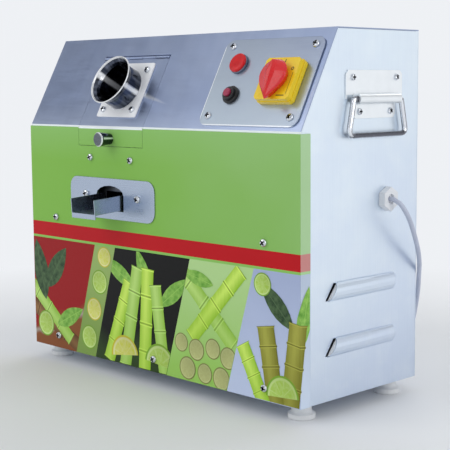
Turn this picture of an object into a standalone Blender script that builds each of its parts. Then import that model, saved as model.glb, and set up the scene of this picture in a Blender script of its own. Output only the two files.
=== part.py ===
"""Electric sugarcane juicer: a sheet-steel cabinet round a belt-driven three-roller mill.

The front faces -Y, +X is the operator's right and z = 0 is the table it stands on.
"""
import math

import bmesh
import bpy
from mathutils import Matrix, Vector

# Clearances
GAP = 0.0003
CUT = 0.004
SHAFT_PLAY = 0.0003

# Cabinet
CAB_W = 0.560
CAB_D = 0.236
CAB_H = 0.470
FOLD_H = 0.340
RIDGE_SETBACK = 0.070
SHEET = 0.0015
COVER_T = 0.0012
COVER_FLANGE = 0.0185
SHELL_LIP = 0.018
BASE_T = 0.002

# Feet
FOOT_H = 0.021
FOOT_R = 0.0178
FOOT_NECK_R = 0.013
FOOT_RIM = 0.009
FOOT_INSET_X = 0.026
FOOT_INSET_Y = 0.031

# Hatch over the mill, with the feed tube on it
HATCH_X = -0.086
HATCH_W = 0.144
HATCH_SHARE = 0.752
HATCH_DROP = 0.026
HATCH_SLIT = 0.0005
HINGE_R = 0.0022
HINGE_PIN_R = 0.0010
HINGE_DEPTH = 0.0009
HINGE_KNUCKLES = 5
LEAF_W = 0.012
FEED_X = -0.0803
FEED_SHARE = 0.405
FLANGE_TO_HINGE = 0.0082
FLANGE_T = 0.002
FLANGE_BORDER = 0.0117
TUBE_WALL = 0.0015
TUBE_IN = 0.022
TUBE_STRAIGHT = 0.024
MOUTH_OUT = 0.0347
MOUTH_FLARE = 0.0062
MOUTH_BEAD = 0.0010
KNOB_X = -0.0855
KNOB_BELOW_FOLD = 0.0155
KNOB_R = 0.0102
KNOB_NECK_R = 0.0080
KNOB_L = 0.0225
CATCH_W = 0.060
CATCH_DEPTH = 0.012

# Juice outlet
OUTLET_X = -0.0835
OUTLET_W = 0.190
OUTLET_BELOW_SPOUT = 0.014
OUTLET_H = 0.0585
OUTLET_CORNER = 0.015
OUTLET_T = 0.0012
SPOUT_X = -0.0863
SPOUT_W = 0.0535
SPOUT_REACH = 0.050
SPOUT_WALL = 0.0215
SPOUT_LOW = 0.2235
SPOUT_LIP = 0.006
SPOUT_TONGUE = 0.030
SPOUT_SLOPE = math.radians(4.0)
SPOUT_CLEAR = 0.0018
ARCH_RISE = 0.0340
ARCH_SHOULDER = 0.022
ARCH_SIDE = 0.0024

# Control plate and what it carries
CONTROL_X = 0.1834
CONTROL_W = 0.1743
CONTROL_LOW = 0.0080
CONTROL_TO_RIDGE = 0.01415
CONTROL_T = 0.002
CONTROL_CORNER = 0.013
CONTROL_BORDER = 0.016
ISOLATOR_X = 0.2248
ISOLATOR_SHARE = 0.4786
ISOLATOR_SIDE = 0.0600
ISOLATOR_T = 0.0134
ISOLATOR_STEP = 0.0065
ISOLATOR_CORNER = 0.0035
ISOLATOR_BODY_SIDE = 0.046
ISOLATOR_BODY_L = 0.036
ISOLATOR_SHAFT_R = 0.006
HANDLE_R = 0.0218
HANDLE_TIP = 0.0335
HANDLE_T = 0.0115
HANDLE_RIDGE = 0.0065
LAMP_X = 0.1348
LAMP_SHARE = 0.7036
LAMP_R = 0.0141
LAMP_OUT = 0.0058
LENS_R = 0.0134
LENS_T = 0.0040
LAMP_BODY_R = 0.0110
LAMP_BODY_L = 0.030
RESET_X = 0.1405
RESET_SHARE = 0.341
RESET_R = 0.0125
RESET_NUT_T = 0.0042
RESET_COLLAR_R = 0.0095
RESET_COLLAR_T = 0.0040
RESET_BODY_R = 0.0075
RESET_BODY_L = 0.028
BUTTON_R = 0.0058
BUTTON_OUT = 0.0034
BUTTON_TRAVEL = 0.003

# Carrying handles
GRIP_Y = 0.1415
GRIP_PIN_Z = 0.3810
GRIP_OUT = 0.0072
GRIP_SLEEVE_R = 0.0069
GRIP_SLEEVE_W = 0.084
GRIP_PLATE_T = 0.0015
GRIP_TOP_W = 0.114
GRIP_TOP_H = 0.036
GRIP_LOW_W = 0.086
GRIP_LOW_H = 0.025
BAIL_R = 0.0038
BAIL_TOP = 0.048
BAIL_FOOT = 0.058
BAIL_DROP = 0.046
BAIL_BEND = 0.009

# Side louvres
LOUVRE_Y = 0.052
LOUVRE_Z = (0.069, 0.140)
LOUVRE_L = 0.138
LOUVRE_H = 0.024
LOUVRE_OUT = 0.0072
LOUVRE_SLANT = 0.016
LOUVRE_WALL = 0.0012
LOUVRE_SINK = 0.0005

# Mill
ROLLER_L = 0.112
TOP_ROLLER_R = 0.031
FRONT_NIP = 0.0030
REAR_NIP = 0.0015
FRONT_LEAN = math.radians(50.0)
REAR_LEAN = math.radians(25.0)
MILL_DEPTH = 0.080
ROLLER_CHAMFER = 0.0015
SHAFT_R = 0.0125
SHAFT_STUB = 0.006
GEAR_MODULE = 0.004
GEAR_TEETH = 16
GEAR_W = 0.018
GEAR_CLEAR = 0.003
GEAR_BACKLASH = 0.0004
PLATE_T = 0.008
PLATE_MARGIN_Y = 0.045
PLATE_MARGIN_Z = 0.042
BUSH_WALL = 0.0035
BUSH_FLANGE_R = 0.019
BUSH_FLANGE_T = 0.0015
TRASH_RISE = 0.006
TRASH_T = 0.008

# Frame, juice tray and bagasse chute
SHELF_BELOW_SPOUT = 0.017
SHELF_T = 0.004
LEG_SIDE = 0.025
LEG_T = 0.003
SHELF_FRONT = 0.020
SHELF_BACK = 0.020
SHELF_MARGIN = 0.012
TRAY_T = 0.0012
TRAY_FRONT = 0.014
TRAY_BACK = 0.206
TRAY_WALL_H = 0.0385
TRAY_SIDE_CLEAR = 0.0005
CHUTE_T = 0.0015
CHUTE_REACH = 0.040
CHUTE_DROP = 0.022
CHUTE_RISE = 0.012
EXIT_LOW = 0.006
EXIT_H = 0.052
EXIT_SIDE = 0.0008

# Drive
SLEEVE_R = 0.020
SLEEVE_L = 0.032
SLEEVE_GRIP = 0.022
GEARBOX_X = 0.040
GEARBOX_L = 0.062
GEARBOX_D = 0.096
GEARBOX_ABOVE = 0.045
GEARBOX_DROP = 0.090
OUTPUT_SEAT = 0.026
INPUT_R = 0.0085
INPUT_SEAT = 0.024
PULLEY_GAP = 0.004
PULLEY_W = 0.018
GEARBOX_PULLEY_R = 0.046
MOTOR_PULLEY_R = 0.023
BELT_H = 0.008
BELT_W = 0.0125
BELT_INNER_W = 0.008
MOTOR_R = 0.066
MOTOR_L = 0.150
MOTOR_COWL_L = 0.026
MOTOR_COWL_T = 0.002
MOTOR_FOOT_H = 0.012
MOTOR_FOOT_W = 0.110
MOTOR_SHAFT_R = 0.009
FAN_R = 0.052
FAN_T = 0.010

# Cord
CORD_D = 0.0064
CORD_Y = 0.168
CORD_Z = 0.250
GLAND_AF = 0.028
GLAND_T = 0.0095
GLAND_MOUTH_R = 0.0065
GLAND_MOUTH_DEPTH = 0.0030
GLAND_SHANK_R = 0.0098
GLAND_SHANK_L = 0.014
LOCKNUT_T = 0.005
COIL_X = 0.118
COIL_BEHIND = 0.066
COIL_MEAN_R = 0.0370
COIL_TURNS_IN = 2.125
COIL_STEP = CORD_D + 0.0006
COIL_POINTS = 24
PLUG_L = 0.044
PLUG_R = 0.0185
PLUG_PIN_R = 0.0025
PLUG_PIN_L = 0.018

# Places worked out from the sizes above
BOTTOM = FOOT_H
FOLD_Z = BOTTOM + FOLD_H
TOP = BOTTOM + CAB_H
FRONT = -(CAB_D + CHUTE_REACH + SPOUT_REACH) / 2 + SPOUT_REACH
BACK = FRONT + CAB_D
SIDE_X = CAB_W / 2 - COVER_T - GAP
INNER_X = SIDE_X - SHEET
SLOPE_RISE = CAB_H - FOLD_H
SLOPE_LENGTH = math.hypot(RIDGE_SETBACK, SLOPE_RISE)
SLOPE_RUN = RIDGE_SETBACK / SLOPE_LENGTH
SLOPE_CLIMB = SLOPE_RISE / SLOPE_LENGTH
HATCH_UP = HATCH_SHARE * SLOPE_LENGTH
FEED_UP = FEED_SHARE * SLOPE_LENGTH
FLANGE_SIDE = 2 * (HATCH_UP - FEED_UP - FLANGE_TO_HINGE)
TUBE_R = FLANGE_SIDE / 2 - FLANGE_BORDER
CONTROL_H = SLOPE_LENGTH - CONTROL_LOW - CONTROL_TO_RIDGE
ISOLATOR_UP = CONTROL_LOW + ISOLATOR_SHARE * CONTROL_H
LAMP_UP = CONTROL_LOW + LAMP_SHARE * CONTROL_H
RESET_UP = CONTROL_LOW + RESET_SHARE * CONTROL_H
OUTLET_LOW = SPOUT_LOW - OUTLET_BELOW_SPOUT
SHELF_H = SPOUT_LOW - SHELF_BELOW_SPOUT
TRAY_WALL_TOP = SPOUT_LOW + TRAY_WALL_H
PITCH_D = GEAR_MODULE * GEAR_TEETH
FRONT_ROLLER_R = PITCH_D - TOP_ROLLER_R - FRONT_NIP
REAR_ROLLER_R = PITCH_D - TOP_ROLLER_R - REAR_NIP
BUSH_R = SHAFT_R + SHAFT_PLAY + BUSH_WALL

# Frames whose local z points out of a face of the cabinet
ACROSS = Matrix(((0, 0, 1, 0), (1, 0, 0, 0), (0, 1, 0, 0), (0, 0, 0, 1)))
FRONT_FRAME = Matrix(((1, 0, 0, 0), (0, 0, -1, FRONT), (0, 1, 0, 0), (0, 0, 0, 1)))
SLOPE_FRAME = (Matrix.Translation((0, FRONT, FOLD_Z))
               @ Matrix.Rotation(math.atan2(SLOPE_CLIMB, SLOPE_RUN), 4, "X"))


def side_frame(side):
    """Local x runs along the cabinet's depth, y upwards and z out of the side panel."""
    return Matrix.Translation((side * SIDE_X, 0, 0)) @ Matrix.Rotation(
        0 if side > 0 else math.pi, 4, "Z") @ ACROSS


def slope_point(up, out):
    """World y and z of a point on the sloping face."""
    return (FRONT + up * SLOPE_RUN - out * SLOPE_CLIMB, FOLD_Z + up * SLOPE_CLIMB + out * SLOPE_RUN)


def make_material(name, colour, roughness, metallic=0.0):
    mat = bpy.data.materials.new(name)
    mat.use_nodes = True
    shader = mat.node_tree.nodes["Principled BSDF"]
    shader.inputs["Base Color"].default_value = (*colour, 1.0)
    shader.inputs["Roughness"].default_value = roughness
    shader.inputs["Metallic"].default_value = metallic
    mat.diffuse_color = (*colour, 1.0)
    return mat


def add_object(name, bm, finish=None, frame=None, smooth=False):
    """Turn a bmesh into an object standing in the given frame."""
    bmesh.ops.recalc_face_normals(bm, faces=bm.faces)
    mesh = bpy.data.meshes.new(name)
    bm.to_mesh(mesh)
    bm.free()
    if smooth:
        mesh.shade_smooth()
        mesh.set_sharp_from_angle(angle=math.radians(35))
    obj = bpy.data.objects.new(name, mesh)
    if frame is not None:
        obj.matrix_world = frame
    bpy.context.scene.collection.objects.link(obj)
    if finish is not None:
        mesh.materials.append(make_material(name, *finish))
    return obj


def boolean(target, bm, operation, frame=None):
    """Cut a shape out of an object, or unite one with it."""
    tool = add_object(f"{target.name}.{operation.lower()}", bm, None, frame)
    tool.hide_render = True
    tool.display_type = "WIRE"
    modifier = target.modifiers.new(operation.title(), "BOOLEAN")
    modifier.operation = operation
    modifier.solver = "EXACT"
    modifier.object = tool


def cut(target, bm, frame=None):
    boolean(target, bm, "DIFFERENCE", frame)


def unite(target, bm, frame=None):
    boolean(target, bm, "UNION", frame)


def prism(points, low, high):
    """A polygon in local x and y, extruded along local z."""
    bm = bmesh.new()
    face = bm.faces.new([bm.verts.new((x, y, low)) for x, y in points])
    raised = bmesh.ops.extrude_face_region(bm, geom=[face])["geom"]
    lifted = [item for item in raised if isinstance(item, bmesh.types.BMVert)]
    bmesh.ops.translate(bm, verts=lifted, vec=(0, 0, high - low))
    return bm


def block(x_low, x_high, y_low, y_high, z_low, z_high):
    return prism([(x_low, y_low), (x_high, y_low), (x_high, y_high), (x_low, y_high)], z_low, z_high)


def turned(profile, segments, closed=False):
    """Revolve (radius, height) points about local z."""
    bm = bmesh.new()
    verts = [bm.verts.new((radius, 0, height)) for radius, height in profile]
    edges = [bm.edges.new(pair) for pair in zip(verts, verts[1:])]
    if closed:
        edges.append(bm.edges.new((verts[-1], verts[0])))
    bmesh.ops.spin(bm, geom=verts + edges, axis=(0, 0, 1), angle=2 * math.pi, steps=segments)
    bmesh.ops.remove_doubles(bm, verts=bm.verts, dist=1e-6)
    return bm


def rod(radius, low, high, segments=24):
    return turned([(0, low), (radius, low), (radius, high), (0, high)], segments)


def rounded(x_mid, y_mid, width, height, corner, steps=4):
    """Outline of a rectangle with round corners, anticlockwise."""
    points = []
    for x_sign, y_sign, start in ((1, 1, 0), (-1, 1, 90), (-1, -1, 180), (1, -1, 270)):
        for step in range(steps + 1):
            angle = math.radians(start + 90 * step / steps)
            points.append((x_mid + x_sign * (width / 2 - corner) + corner * math.cos(angle),
                           y_mid + y_sign * (height / 2 - corner) + corner * math.sin(angle)))
    return points


def place(x, y, z):
    return Matrix.Translation((x, y, z))


def outline(front, slope, top, back, bottom=0.0):
    """The cabinet's side outline as (y, z), each edge moved inwards by its own amount."""
    fold_y = FRONT + front
    fold_z = FOLD_Z + (front - slope * SLOPE_CLIMB) * SLOPE_CLIMB / SLOPE_RUN - slope * SLOPE_RUN
    along = (SLOPE_RISE - top + slope * SLOPE_RUN) / SLOPE_CLIMB
    ridge_y = FRONT + along * SLOPE_RUN + slope * SLOPE_CLIMB
    return [(fold_y, BOTTOM + bottom), (fold_y, fold_z), (ridge_y, TOP - top),
            (BACK - back, TOP - top), (BACK - back, BOTTOM + bottom)]


STEEL = ((0.62, 0.64, 0.67), 0.32, 1.0)
BRIGHT = ((0.72, 0.73, 0.75), 0.18, 1.0)
CHROME = ((0.80, 0.81, 0.83), 0.08, 1.0)
MACHINED = ((0.55, 0.56, 0.58), 0.30, 1.0)
BLACK = ((0.02, 0.02, 0.022), 0.45)
WHITE = ((0.85, 0.85, 0.80), 0.45)
GREEN = ((0.27, 0.55, 0.13), 0.40)
CORD_GREY = ((0.55, 0.58, 0.68), 0.50)


def build_side_panel(name, side):
    wrap = SHEET + GAP
    points = outline(COVER_T + GAP + wrap, wrap, wrap, wrap)
    low, high = sorted((side * INNER_X, side * SIDE_X))
    panel = add_object(name, prism(points, low, high), STEEL, ACROSS)
    frame = side_frame(side)
    for height in LOUVRE_Z:
        spot = frame @ place(side * (FRONT + LOUVRE_Y), BOTTOM + height, 0) @ Matrix.Diagonal(
            (side, 1, 1, 1))
        unite(panel, louvre(LOUVRE_H / 2, LOUVRE_OUT, 0, LOUVRE_L, SHEET / 2), spot)
        cut(panel, louvre(LOUVRE_H / 2 - LOUVRE_WALL, LOUVRE_OUT - LOUVRE_WALL, -CUT,
                          LOUVRE_L - LOUVRE_WALL, SHEET + CUT), spot)
    return panel


def louvre(half_h, out, start, end, root):
    """A pressed scoop: x runs back from its open mouth, y upwards and z out of the panel."""
    stations = [(start, 1.0), (0.45 * end, 0.92), (end - 0.6 * half_h, 0.72),
                (end - 0.2 * half_h, 0.50), (end, 0.22)]
    rings = []
    bm = bmesh.new()
    for along, share in stations:
        height = half_h * min(1.0, 0.25 + share)
        slant = LOUVRE_SLANT * (1 - max(0.0, along) / end)
        ring = [bm.verts.new((along + slant, height, -root)),
                bm.verts.new((along, -height, -root))]
        for step in range(9):
            angle = math.pi * (step / 8 - 0.5)
            level = math.sin(angle)
            bulge = (out * share + LOUVRE_SINK) * math.cos(angle) - LOUVRE_SINK
            ring.append(bm.verts.new((along + slant * (1 + level) / 2, height * level, bulge)))
        rings.append(ring)
    for first, second in zip(rings, rings[1:]):
        for i, vert in enumerate(first):
            j = (i + 1) % len(first)
            bm.faces.new((vert, first[j], second[j], second[i]))
    bm.faces.new(rings[0])
    bm.faces.new(rings[-1][::-1])
    return bm


def build_upper_shell():
    inset = COVER_T + GAP
    outer = outline(inset, 0, 0, 0)[1:4]
    inner = outline(inset + SHEET, SHEET, SHEET, 0)[1:4]
    points = ([(FRONT + inset, FOLD_Z - SHELL_LIP)] + outer + inner[::-1]
              + [(FRONT + inset + SHEET, FOLD_Z - SHELL_LIP)])
    shell = add_object("upper_shell", prism(points, -SIDE_X, SIDE_X), STEEL, ACROSS)
    half = HATCH_W / 2 + HATCH_SLIT
    upper = HATCH_UP + HATCH_SLIT + 2 * HINGE_R + 2 * GAP
    cut(shell, block(HATCH_X - half, HATCH_X + half, -CUT, upper, -SHELL_LIP, CUT), SLOPE_FRAME)
    cut(shell, block(HATCH_X - half, HATCH_X + half, FOLD_Z - SHELL_LIP - CUT, FOLD_Z + CUT,
                     -SHELL_LIP, CUT), FRONT_FRAME)
    cut(shell, prism(rounded(CONTROL_X, CONTROL_LOW + CONTROL_H / 2, CONTROL_W - 2 * CONTROL_BORDER,
                             CONTROL_H - 2 * CONTROL_BORDER, CONTROL_CORNER / 2, 1), -CUT, CUT),
        SLOPE_FRAME)
    return shell


def build_front_cover():
    half = CAB_W / 2
    depth = FRONT + COVER_FLANGE
    points = [(-half, FRONT), (half, FRONT), (half, depth), (half - COVER_T, depth),
              (half - COVER_T, FRONT + COVER_T), (COVER_T - half, FRONT + COVER_T),
              (COVER_T - half, depth), (-half, depth)]
    cover = add_object("front_cover", prism(points, BOTTOM, FOLD_Z), GREEN)
    notch = HATCH_W / 2 + HATCH_SLIT
    cut(cover, block(HATCH_X - notch, HATCH_X + notch, FOLD_Z - HATCH_DROP - HATCH_SLIT,
                     FOLD_Z + CUT, -CUT, CUT), FRONT_FRAME)
    cut(cover, prism(arch(SPOUT_CLEAR + 0.001), -CUT, CUT), FRONT_FRAME)
    return cover


def arch(clear):
    """The spout's opening: straight sides under a round-shouldered top."""
    half = SPOUT_W / 2 + ARCH_SIDE + clear
    low = BOTTOM + SPOUT_LOW - SPOUT_CLEAR
    shoulder = low + ARCH_SHOULDER
    points = [(SPOUT_X - half, low), (SPOUT_X + half, low), (SPOUT_X + half, shoulder)]
    for step in range(1, 8):
        angle = math.pi * step / 8
        points.append((SPOUT_X + half * math.cos(angle),
                       shoulder + (ARCH_RISE - ARCH_SHOULDER + clear) * math.sin(angle)))
    return points + [(SPOUT_X - half, shoulder)]


def build_back_panel(chute_z):
    panel = add_object("back_panel", block(-SIDE_X, SIDE_X, BACK - SHEET, BACK,
                                           BOTTOM, TOP - SHEET - GAP), STEEL)
    half = exit_half_width()
    cut(panel, block(FEED_X - half, FEED_X + half, BACK - SHEET - CUT, BACK + CUT,
                     chute_z - EXIT_LOW, chute_z - EXIT_LOW + EXIT_H))
    return panel


def exit_half_width():
    return ROLLER_L / 2 + EXIT_SIDE


def build_base():
    inset = COVER_T + GAP
    add_object("base_plate", block(-INNER_X + GAP, INNER_X - GAP, FRONT + inset,
                                   BACK - SHEET - GAP, BOTTOM, BOTTOM + BASE_T), STEEL)
    top = FOOT_H - GAP
    profile = [(0, 0), (FOOT_R - 0.0012, 0), (FOOT_R, 0.0012), (FOOT_R, FOOT_RIM - 0.002),
               (FOOT_NECK_R + 0.001, FOOT_RIM), (FOOT_NECK_R, FOOT_RIM + 0.002),
               (FOOT_NECK_R, top), (0, top)]
    for end, y in (("front", FRONT + FOOT_INSET_Y), ("rear", BACK - FOOT_INSET_Y)):
        for hand, side in (("left", -1), ("right", 1)):
            add_object(f"foot_{end}_{hand}", turned(profile, 24), WHITE,
                       place(side * (CAB_W / 2 - FOOT_INSET_X), y, 0), True)


def knuckle_spans(first):
    """Stretches of the hinge barrel: every second one, starting with the given one."""
    pitch = HATCH_W / HINGE_KNUCKLES
    low = HATCH_X - HATCH_W / 2
    return [(low + pitch * i + GAP, low + pitch * (i + 1) - GAP)
            for i in range(first, HINGE_KNUCKLES, 2)]


def build_hatch():
    """The bent hatch, hinged along its upper edge, with its tube, knob, pin and catch."""
    axis_up = HATCH_UP + HINGE_R
    hinge_y, hinge_z = slope_point(axis_up, -HINGE_DEPTH)
    hinge = place(0, hinge_y, hinge_z)
    to_hinge = hinge.inverted()
    slope = to_hinge @ SLOPE_FRAME
    outer_top = slope_point(HATCH_UP - 2 * GAP, 0)
    inner_top = slope_point(HATCH_UP - 2 * GAP, -SHEET)
    inner_fold = outline(SHEET, SHEET, 0, 0)[1]
    low = FOLD_Z - HATCH_DROP
    points = [(FRONT, low), (FRONT, FOLD_Z), outer_top, inner_top, inner_fold,
              (FRONT + SHEET, low)]
    local = [(y - hinge_y, z - hinge_z) for y, z in points]
    hatch = add_object("feed_hatch", prism(local, HATCH_X - HATCH_W / 2, HATCH_X + HATCH_W / 2),
                       STEEL, hinge @ ACROSS)
    barrel = place(0, 0, 0) @ ACROSS
    for low_x, high_x in knuckle_spans(1):
        unite(hatch, block(low_x, high_x, HATCH_UP - 2 * HINGE_R, axis_up, -SHEET, -0.0002),
              hinge @ slope)
        unite(hatch, rod(HINGE_R, low_x, high_x, 16), hinge @ barrel)
    cut(hatch, rod(HINGE_PIN_R + GAP, HATCH_X - HATCH_W, HATCH_X + HATCH_W, 16), hinge @ barrel)
    bore = TUBE_R + GAP
    cut(hatch, rod(bore, -CUT, CUT, 48), SLOPE_FRAME @ place(FEED_X, FEED_UP, 0))

    leaf = add_object("hatch_hinge_leaf",
                      block(HATCH_X - HATCH_W / 2 + GAP, HATCH_X + HATCH_W / 2 - GAP,
                            axis_up + HINGE_R + GAP, axis_up + HINGE_R + LEAF_W,
                            -SHEET - GAP - HINGE_R / 2, -SHEET - GAP), STEEL, SLOPE_FRAME)
    for low_x, high_x in knuckle_spans(0):
        unite(leaf, block(low_x, high_x, axis_up, axis_up + HINGE_R + 2 * GAP + 0.001,
                          -SHEET - GAP - HINGE_R / 2, -SHEET - GAP), SLOPE_FRAME)
        unite(leaf, rod(HINGE_R, low_x, high_x, 16), hinge @ barrel)
    cut(leaf, rod(HINGE_PIN_R + GAP, HATCH_X - HATCH_W, HATCH_X + HATCH_W, 16), hinge @ barrel)
    add_object("hatch_hinge_pin", rod(HINGE_PIN_R, HATCH_X - HATCH_W / 2, HATCH_X + HATCH_W / 2, 12),
               BRIGHT, hinge @ barrel, True)

    mouth_r = TUBE_R + MOUTH_FLARE
    bend = TUBE_STRAIGHT + 0.45 * (MOUTH_OUT - TUBE_STRAIGHT)
    bend_r = TUBE_R + 0.3 * MOUTH_FLARE
    tube_profile = [(TUBE_R, -TUBE_IN), (TUBE_R, TUBE_STRAIGHT), (bend_r, bend),
                    (mouth_r - MOUTH_BEAD, MOUTH_OUT - 2 * MOUTH_BEAD),
                    (mouth_r, MOUTH_OUT - MOUTH_BEAD), (mouth_r - 0.6 * MOUTH_BEAD, MOUTH_OUT),
                    (mouth_r - 1.5 * MOUTH_BEAD, MOUTH_OUT),
                    (mouth_r - 2 * MOUTH_BEAD, MOUTH_OUT - MOUTH_BEAD),
                    (mouth_r - MOUTH_BEAD - TUBE_WALL, MOUTH_OUT - 2 * MOUTH_BEAD),
                    (bend_r - TUBE_WALL, bend),
                    (TUBE_R - TUBE_WALL, TUBE_STRAIGHT), (TUBE_R - TUBE_WALL, -TUBE_IN)]
    seat = SLOPE_FRAME @ place(FEED_X, FEED_UP, 0)
    tube = add_object("feed_tube", turned(tube_profile, 44, True), BRIGHT, seat, True)
    flange = prism(rounded(0, 0, FLANGE_SIDE, FLANGE_SIDE, 0.003, 2), GAP, GAP + FLANGE_T)
    unite(tube, flange, seat)
    cut(tube, rod(TUBE_R - TUBE_WALL, -CUT, CUT, 44), seat)

    knob_profile = [(0, GAP), (KNOB_NECK_R, GAP), (0.93 * KNOB_R, 0.62 * KNOB_L),
                    (0.97 * KNOB_R, 0.74 * KNOB_L), (KNOB_R, 0.80 * KNOB_L),
                    (KNOB_R, KNOB_L - 0.0015), (KNOB_R - 0.0015, KNOB_L), (0, KNOB_L)]
    add_object("hatch_knob", turned(knob_profile, 24), CHROME,
               FRONT_FRAME @ place(KNOB_X, FOLD_Z - KNOB_BELOW_FOLD, 0), True)

    behind = COVER_T + GAP
    low = FOLD_Z - HATCH_DROP
    catch = [(FRONT + behind, low - 0.022), (FRONT + behind + 0.002, low - 0.022),
             (FRONT + behind + 0.002, low - 0.006), (FRONT + SHEET + CATCH_DEPTH, low - 0.006),
             (FRONT + SHEET + CATCH_DEPTH, low + 0.012), (FRONT + SHEET + GAP, low + 0.012),
             (FRONT + SHEET + GAP, low - 0.004), (FRONT + behind, low - 0.004)]
    add_object("hatch_catch", prism(catch, HATCH_X - CATCH_W / 2, HATCH_X + CATCH_W / 2), BLACK,
               ACROSS)


def build_outlet():
    middle = BOTTOM + OUTLET_LOW + OUTLET_H / 2
    plate = add_object("outlet_plate", prism(rounded(OUTLET_X, middle, OUTLET_W, OUTLET_H,
                                                     OUTLET_CORNER), GAP, GAP + OUTLET_T),
                       STEEL, FRONT_FRAME)
    cut(plate, prism(arch(SPOUT_CLEAR), -CUT, CUT), FRONT_FRAME)

    spout_frame = (place(SPOUT_X, FRONT, BOTTOM + SPOUT_LOW)
                   @ Matrix.Rotation(SPOUT_SLOPE, 4, "X"))
    reach = SPOUT_REACH / math.cos(SPOUT_SLOPE) - 0.0005
    half = SPOUT_W / 2
    inside = TRAY_FRONT - 0.004
    spout = add_object("juice_spout", block(-half, half, -reach, inside, 0, SPOUT_WALL), STEEL,
                       spout_frame)
    cut(spout, block(-half + TRAY_T, half - TRAY_T, -reach - CUT, inside + CUT, TRAY_T,
                     SPOUT_WALL + CUT), spout_frame)
    unite(spout, block(-half + TRAY_T, half - TRAY_T, 0, SPOUT_TONGUE, 0, TRAY_T), spout_frame)
    unite(spout, block(-half, half, -reach, -reach + TRAY_T, -SPOUT_LIP, TRAY_T / 2), spout_frame)

    half = mill_inner() - TRAY_SIDE_CLEAR
    shelf_top = BOTTOM + SHELF_H + GAP
    floor = BOTTOM + SPOUT_LOW + TRAY_T + GAP * 2
    rise = math.tan(SPOUT_SLOPE)
    front, back = FRONT + TRAY_FRONT, FRONT + TRAY_BACK
    tray = add_object("juice_tray", block(FEED_X - half, FEED_X + half, front, back, shelf_top,
                                          BOTTOM + TRAY_WALL_TOP), STEEL)
    over = [(front + TRAY_T, floor + (TRAY_FRONT + TRAY_T) * rise + TRAY_T),
            (back - TRAY_T, floor + (TRAY_BACK - TRAY_T) * rise + TRAY_T),
            (back - TRAY_T, TOP), (front + TRAY_T, TOP)]
    under = [(front + TRAY_T, shelf_top - CUT), (back - TRAY_T, shelf_top - CUT),
             (back - TRAY_T, floor + (TRAY_BACK - TRAY_T) * rise),
             (front + TRAY_T, floor + (TRAY_FRONT + TRAY_T) * rise)]
    wall = half - TRAY_T
    cut(tray, prism(over, FEED_X - wall, FEED_X + wall), ACROSS)
    cut(tray, prism(under, FEED_X - wall, FEED_X + wall), ACROSS)
    half = SPOUT_W / 2
    low = floor + (TRAY_FRONT + TRAY_T) * rise
    cut(tray, block(SPOUT_X - half, SPOUT_X + half, front - CUT, front + TRAY_T + GAP,
                    low - 2.5 * TRAY_T, low), None)
    cut(tray, block(SPOUT_X - half, SPOUT_X + half, front - CUT, front + TRAY_T + GAP,
                    low + TRAY_T, low + SPOUT_WALL), None)


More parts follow.
